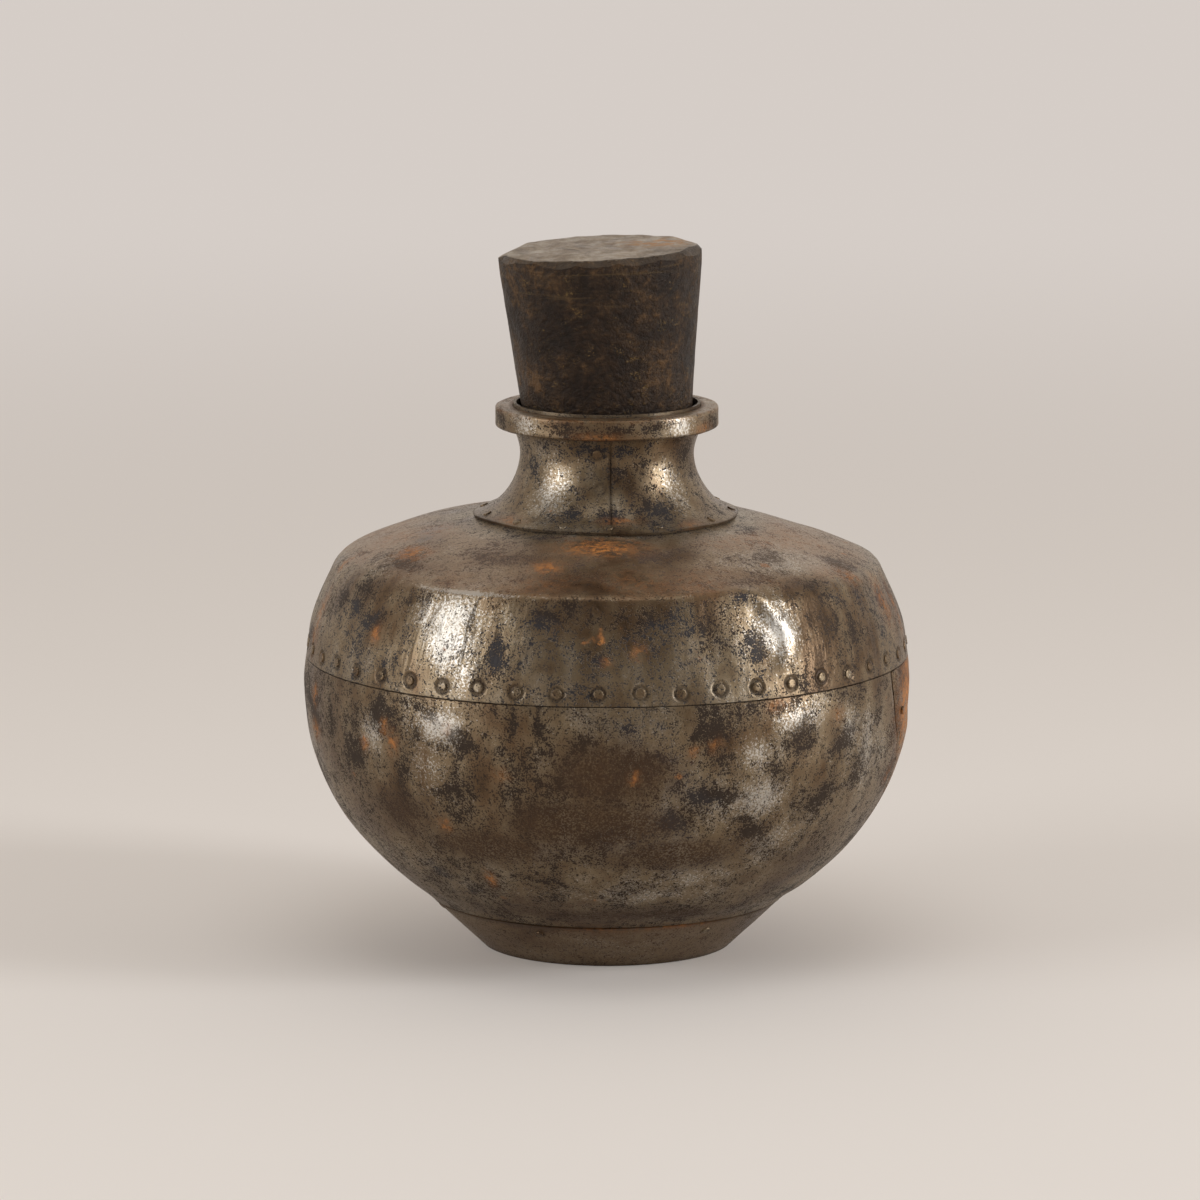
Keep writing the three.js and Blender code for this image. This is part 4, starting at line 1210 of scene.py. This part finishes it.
# Stopper
def make_stopper(material):
    bottom, crown = np.array(((0.0, -PLUG_DEPTH), (0.0, STOPPER_HEIGHT)))
    side = np.array((
        (WEDGE_RADIUS - 3 * MM, -PLUG_DEPTH), (WEDGE_RADIUS - 0.3 * MM, 3 * MM - PLUG_DEPTH),
        (WEDGE_RADIUS, MM), (STOPPER_RIM_RADIUS, RIM_LEVEL),
        (STOPPER_TOP_RADIUS - 0.8 * MM, STOPPER_HEIGHT - 14 * MM), (STOPPER_TOP_RADIUS, STOPPER_HEIGHT),
        (STOPPER_TOP_RADIUS - 14 * MM, STOPPER_HEIGHT),
    ))
    path = [bottom, *straight(bottom, side[0], 10)]
    for low, high, count in zip(side, side[1:], (3, 5, 14, 36, 20, 20)):
        path += straight(low, high, count)
    path += straight(side[-1], crown, 20)
    piece = spin_path("pot_stopper", np.array(path), start=-180.0, sweep=360.0, steps=260)

    # Shaved flats and chips on the side, and an uneven top
    points = get_points(piece)
    height = points[:, 2]
    on_side = smooth(0.040, 0.050, round_radius(points)) * smooth(0.020, 0.034, height)
    across = np.radians(round_angle(points)) * 0.06
    flats = 0.5 * MM * (strokes(across, height, 12 * MM, 70 * MM, 31) - 0.5)
    chips = 0.18 * MM * lumps(points, 0.010, 32)
    uneven = 0.35 * MM * (lumps(points, (0.030, 0.012, 0.03), 33) - 1)
    push(piece, on_side * (flats + chips) + smooth(0.130, 0.135, height) * uneven)

    # Knife cuts round the top edge, each an angle, how far in it starts, and its tilt
    points = get_points(piece)
    chance = np.random.default_rng(36)
    cuts = [
        (angle + chance.uniform(-4, 4), chance.uniform(3.0, 4.6) * MM, chance.uniform(50, 60))
        for angle in range(0, 360, 24)
    ]
    top = (points[:, 2] > STOPPER_HEIGHT - 1.2 * MM).astype(float)
    pared = np.zeros(len(points))
    for angle, inset, tilt in (*HEWN_FLATS, *cuts):
        reach = points @ np.array(turned(angle)) - (STOPPER_TOP_RADIUS - inset)
        limit = STOPPER_HEIGHT - reach * math.tan(math.radians(tilt)) + 0.15 * MM * lumps(points, 0.012, 34)
        above = (reach > 0) & (points[:, 2] > limit)
        points[:, 2] = np.where(above, limit, points[:, 2])
        top = np.where(above, float(tilt < 30), top)
        pared = np.where(above, float(tilt > 30), pared)
    set_points(piece, points)
    face = top * (0.9 + 0.2 * lumps(points, 0.02, 35))
    paint(piece, "wear_and_highlight", np.maximum(face, 0.14 * pared))
    paint(piece, "rust", bump_at(points[:, 0], 0.040, 0.022) * bump_at(points[:, 1], 0.012, 0.020) * top)
    scuffed = np.maximum(bump_at(points[:, 2], 0.109, 0.005), 0.6 * bump_at(points[:, 2], 0.126, 0.004))
    paint(piece, "scuffed", scuffed)
    lean = Matrix.Translation(STOPPER_SEAT) @ Matrix.Rotation(-math.radians(STOPPER_LEAN), 4, "Y")
    piece.data.transform(lean)
    finish_piece(piece, material, "stopper_wood", "stopper", "wooden_stopper", crease=24.0)


def make_rivets(material):
    long_rivet = model_rivet("long_rivet", 3 * SHEET + 3 * GAP, HEAD_RADIUS, HEAD_RISE)
    short_rivet = model_rivet("short_rivet", 2 * SHEET + 2 * GAP, HEAD_RADIUS, HEAD_RISE)
    plug_rivet = model_rivet("plug_rivet", SHEET + GAP, HEAD_RADIUS, HEAD_RISE)
    flush_rivet = model_rivet("flush_rivet", NECK_SHEET - 0.2 * MM, HEAD_RADIUS - 0.2 * MM, 0.25 * MM)
    rivets = []
    for i, node in enumerate(belly_nodes):
        model = long_rivet if node in THREE_SHEET_RIVETS else short_rivet
        rivets.append((node, model, *skirt_point(node), i * 2.1, 0.5 * MM))
    for node, (angle, level) in PLUG_RIVETS.items():
        rivets.append((node, plug_rivet, *path_point(bowl_path(), angle, level), angle, 0.7 * MM))
    for node, (angle, level) in NECK_SEAM_RIVETS.items():
        rivets.append((node, flush_rivet, *path_point(neck_path(), angle, level), angle, 0.0))
    for node, model, place, out, turn, sink in rivets:
        piece = copy_rivet(model, "visual_" + node, place, out, turn, sink)
        finish_piece(piece, material, "rivet_iron", "pot", node)
    for model in (long_rivet, short_rivet, plug_rivet, flush_rivet):
        bpy.data.objects.remove(model, do_unlink=True)


# Floor, light and camera
def make_floor():
    """A pale floor, which the camera sees glow softly, more so far away."""
    deselect()
    bpy.ops.mesh.primitive_plane_add(size=FLOOR_SIZE, location=(0, FLOOR_BACK, 0))
    floor = bpy.context.object
    floor.name = "floor"
    bpy.ops.object.transform_apply(location=True, rotation=True, scale=True)
    coat = Surface("pale_floor")
    seen = coat.tree.nodes.new("ShaderNodeLightPath").outputs["Is Camera Ray"]
    away = coat.tree.nodes.new("ShaderNodeVectorMath")
    away.operation = "LENGTH"
    coat.link(coat.place, away.inputs[0])
    far = coat.between(away.outputs["Value"], FAR_FROM, FAR_TO)
    coat.set("Base Color", coat.blend(coat.times(seen, far), FLOOR_COLOUR, FAR_FLOOR_COLOUR))
    coat.set("Roughness", 0.95)
    coat.set("Specular IOR Level", 0.1)
    coat.set("Emission Color", FLOOR_GLOW)
    coat.set("Emission Strength", coat.times(seen, coat.add(coat.times(far, FAR_GLOW), NEAR_GLOW)))
    floor.data.materials.append(coat.material)


def make_world():
    """Soft light all round, brighter from behind the pot than from before it."""
    world = bpy.data.worlds.new("soft_studio")
    bpy.context.scene.world = world
    world.use_nodes = True
    nodes, links = world.node_tree.nodes, world.node_tree.links
    background = nodes["Background"]
    background.inputs["Color"].default_value = (*SURROUND_COLOUR, 1.0)
    direction = nodes.new("ShaderNodeSeparateXYZ")
    links.new(nodes.new("ShaderNodeTexCoord").outputs["Generated"], direction.inputs["Vector"])
    depth = nodes.new("ShaderNodeMapRange")
    links.new(direction.outputs["Y"], depth.inputs["Value"])
    for socket, value in (("From Min", -0.7), ("From Max", 0.9), ("To Min", 0.15), ("To Max", 1.02)):
        depth.inputs[socket].default_value = value
    links.new(depth.outputs["Result"], background.inputs["Strength"])


def add_lamp(name, angle, distance, height, width, tall, power):
    light = bpy.data.lights.new(name, "AREA")
    light.shape = "RECTANGLE"
    light.size = width
    light.size_y = tall
    light.energy = power
    light.color = LAMP_COLOUR
    lamp = bpy.data.objects.new(name, light)
    bpy.context.scene.collection.objects.link(lamp)
    lamp.location = turned(angle) * distance + Vector((0, 0, height))
    lamp.rotation_euler = (LAMP_AIM - lamp.location).to_track_quat("-Z", "Y").to_euler()


def add_camera():
    camera = bpy.data.cameras.new("camera")
    camera.sensor_width = SENSOR_WIDTH
    camera.lens = SENSOR_WIDTH * PIXELS_PER_METRE * CAMERA_DISTANCE / IMAGE_WIDTH
    camera.clip_end = VIEW_DEPTH
    holder = bpy.data.objects.new("camera", camera)
    bpy.context.scene.collection.objects.link(holder)
    rise = math.radians(CAMERA_RISE)
    holder.location = LOOK_AT + CAMERA_DISTANCE * Vector((0, -math.cos(rise), math.sin(rise)))
    holder.rotation_euler = (math.pi / 2 - rise, 0.0, 0.0)
    bpy.context.scene.camera = holder


belly_nodes = sorted(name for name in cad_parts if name.startswith("belly_rivet"))
small_rivet = model_rivet("small_rivet", 2 * SHEET + 2 * GAP, SMALL_HEAD_RADIUS, SMALL_HEAD_RISE)

add_camera()
make_floor()
make_world()
for lamp_name, setting in LAMPS.items():
    add_lamp(lamp_name, *setting)

shoulder_iron = iron(
    "shoulder_iron", tone=0.5, pitting=0.7, blue=0.7, smoke=0.8, stroke=(1, 1, 0.22), seed=1,
    veil_colour=DUST_BROWN,
)
bowl_iron = iron("bowl_iron", tone=0.35, pitting=1.2, blue=0.1, smoke=1.0, stroke=(1, 1, 0.35), seed=2)
foot_iron = iron(
    "foot_iron", tone=0.3, pitting=0.4, blue=0.0, smoke=0.8, stroke=(0.3, 0.3, 1), seed=3,
    veil_colour=RUSTY_BROWN,
)
neck_iron = iron("neck_iron", tone=0.6, pitting=0.6, blue=0.7, smoke=0.3, stroke=(1, 1, 0.4), seed=4)
ring_iron = iron("ring_iron", tone=0.3, pitting=0.4, blue=0.4, smoke=0.3, stroke=(0.4, 0.4, 1), seed=5)
rivet_iron = iron("rivet_iron", tone=0.5, pitting=0.3, blue=0.3, smoke=0.4, stroke=(1, 1, 1), seed=6)

make_shoulder(shoulder_iron)
make_bowl_half("pot_bowl_front", "bowl_front_half", LEFT_LAP - 360.0, True, bowl_iron)
make_bowl_half("pot_bowl_back", "bowl_back_half", RIGHT_LAP, False, bowl_iron)
make_pan(foot_iron)
make_neck(neck_iron)
make_ring(ring_iron)
make_rivets(rivet_iron)
make_stopper(wood("stopper_wood"))
bpy.data.objects.remove(small_rivet, do_unlink=True)

bpy.context.scene.view_settings.view_transform = "Standard"
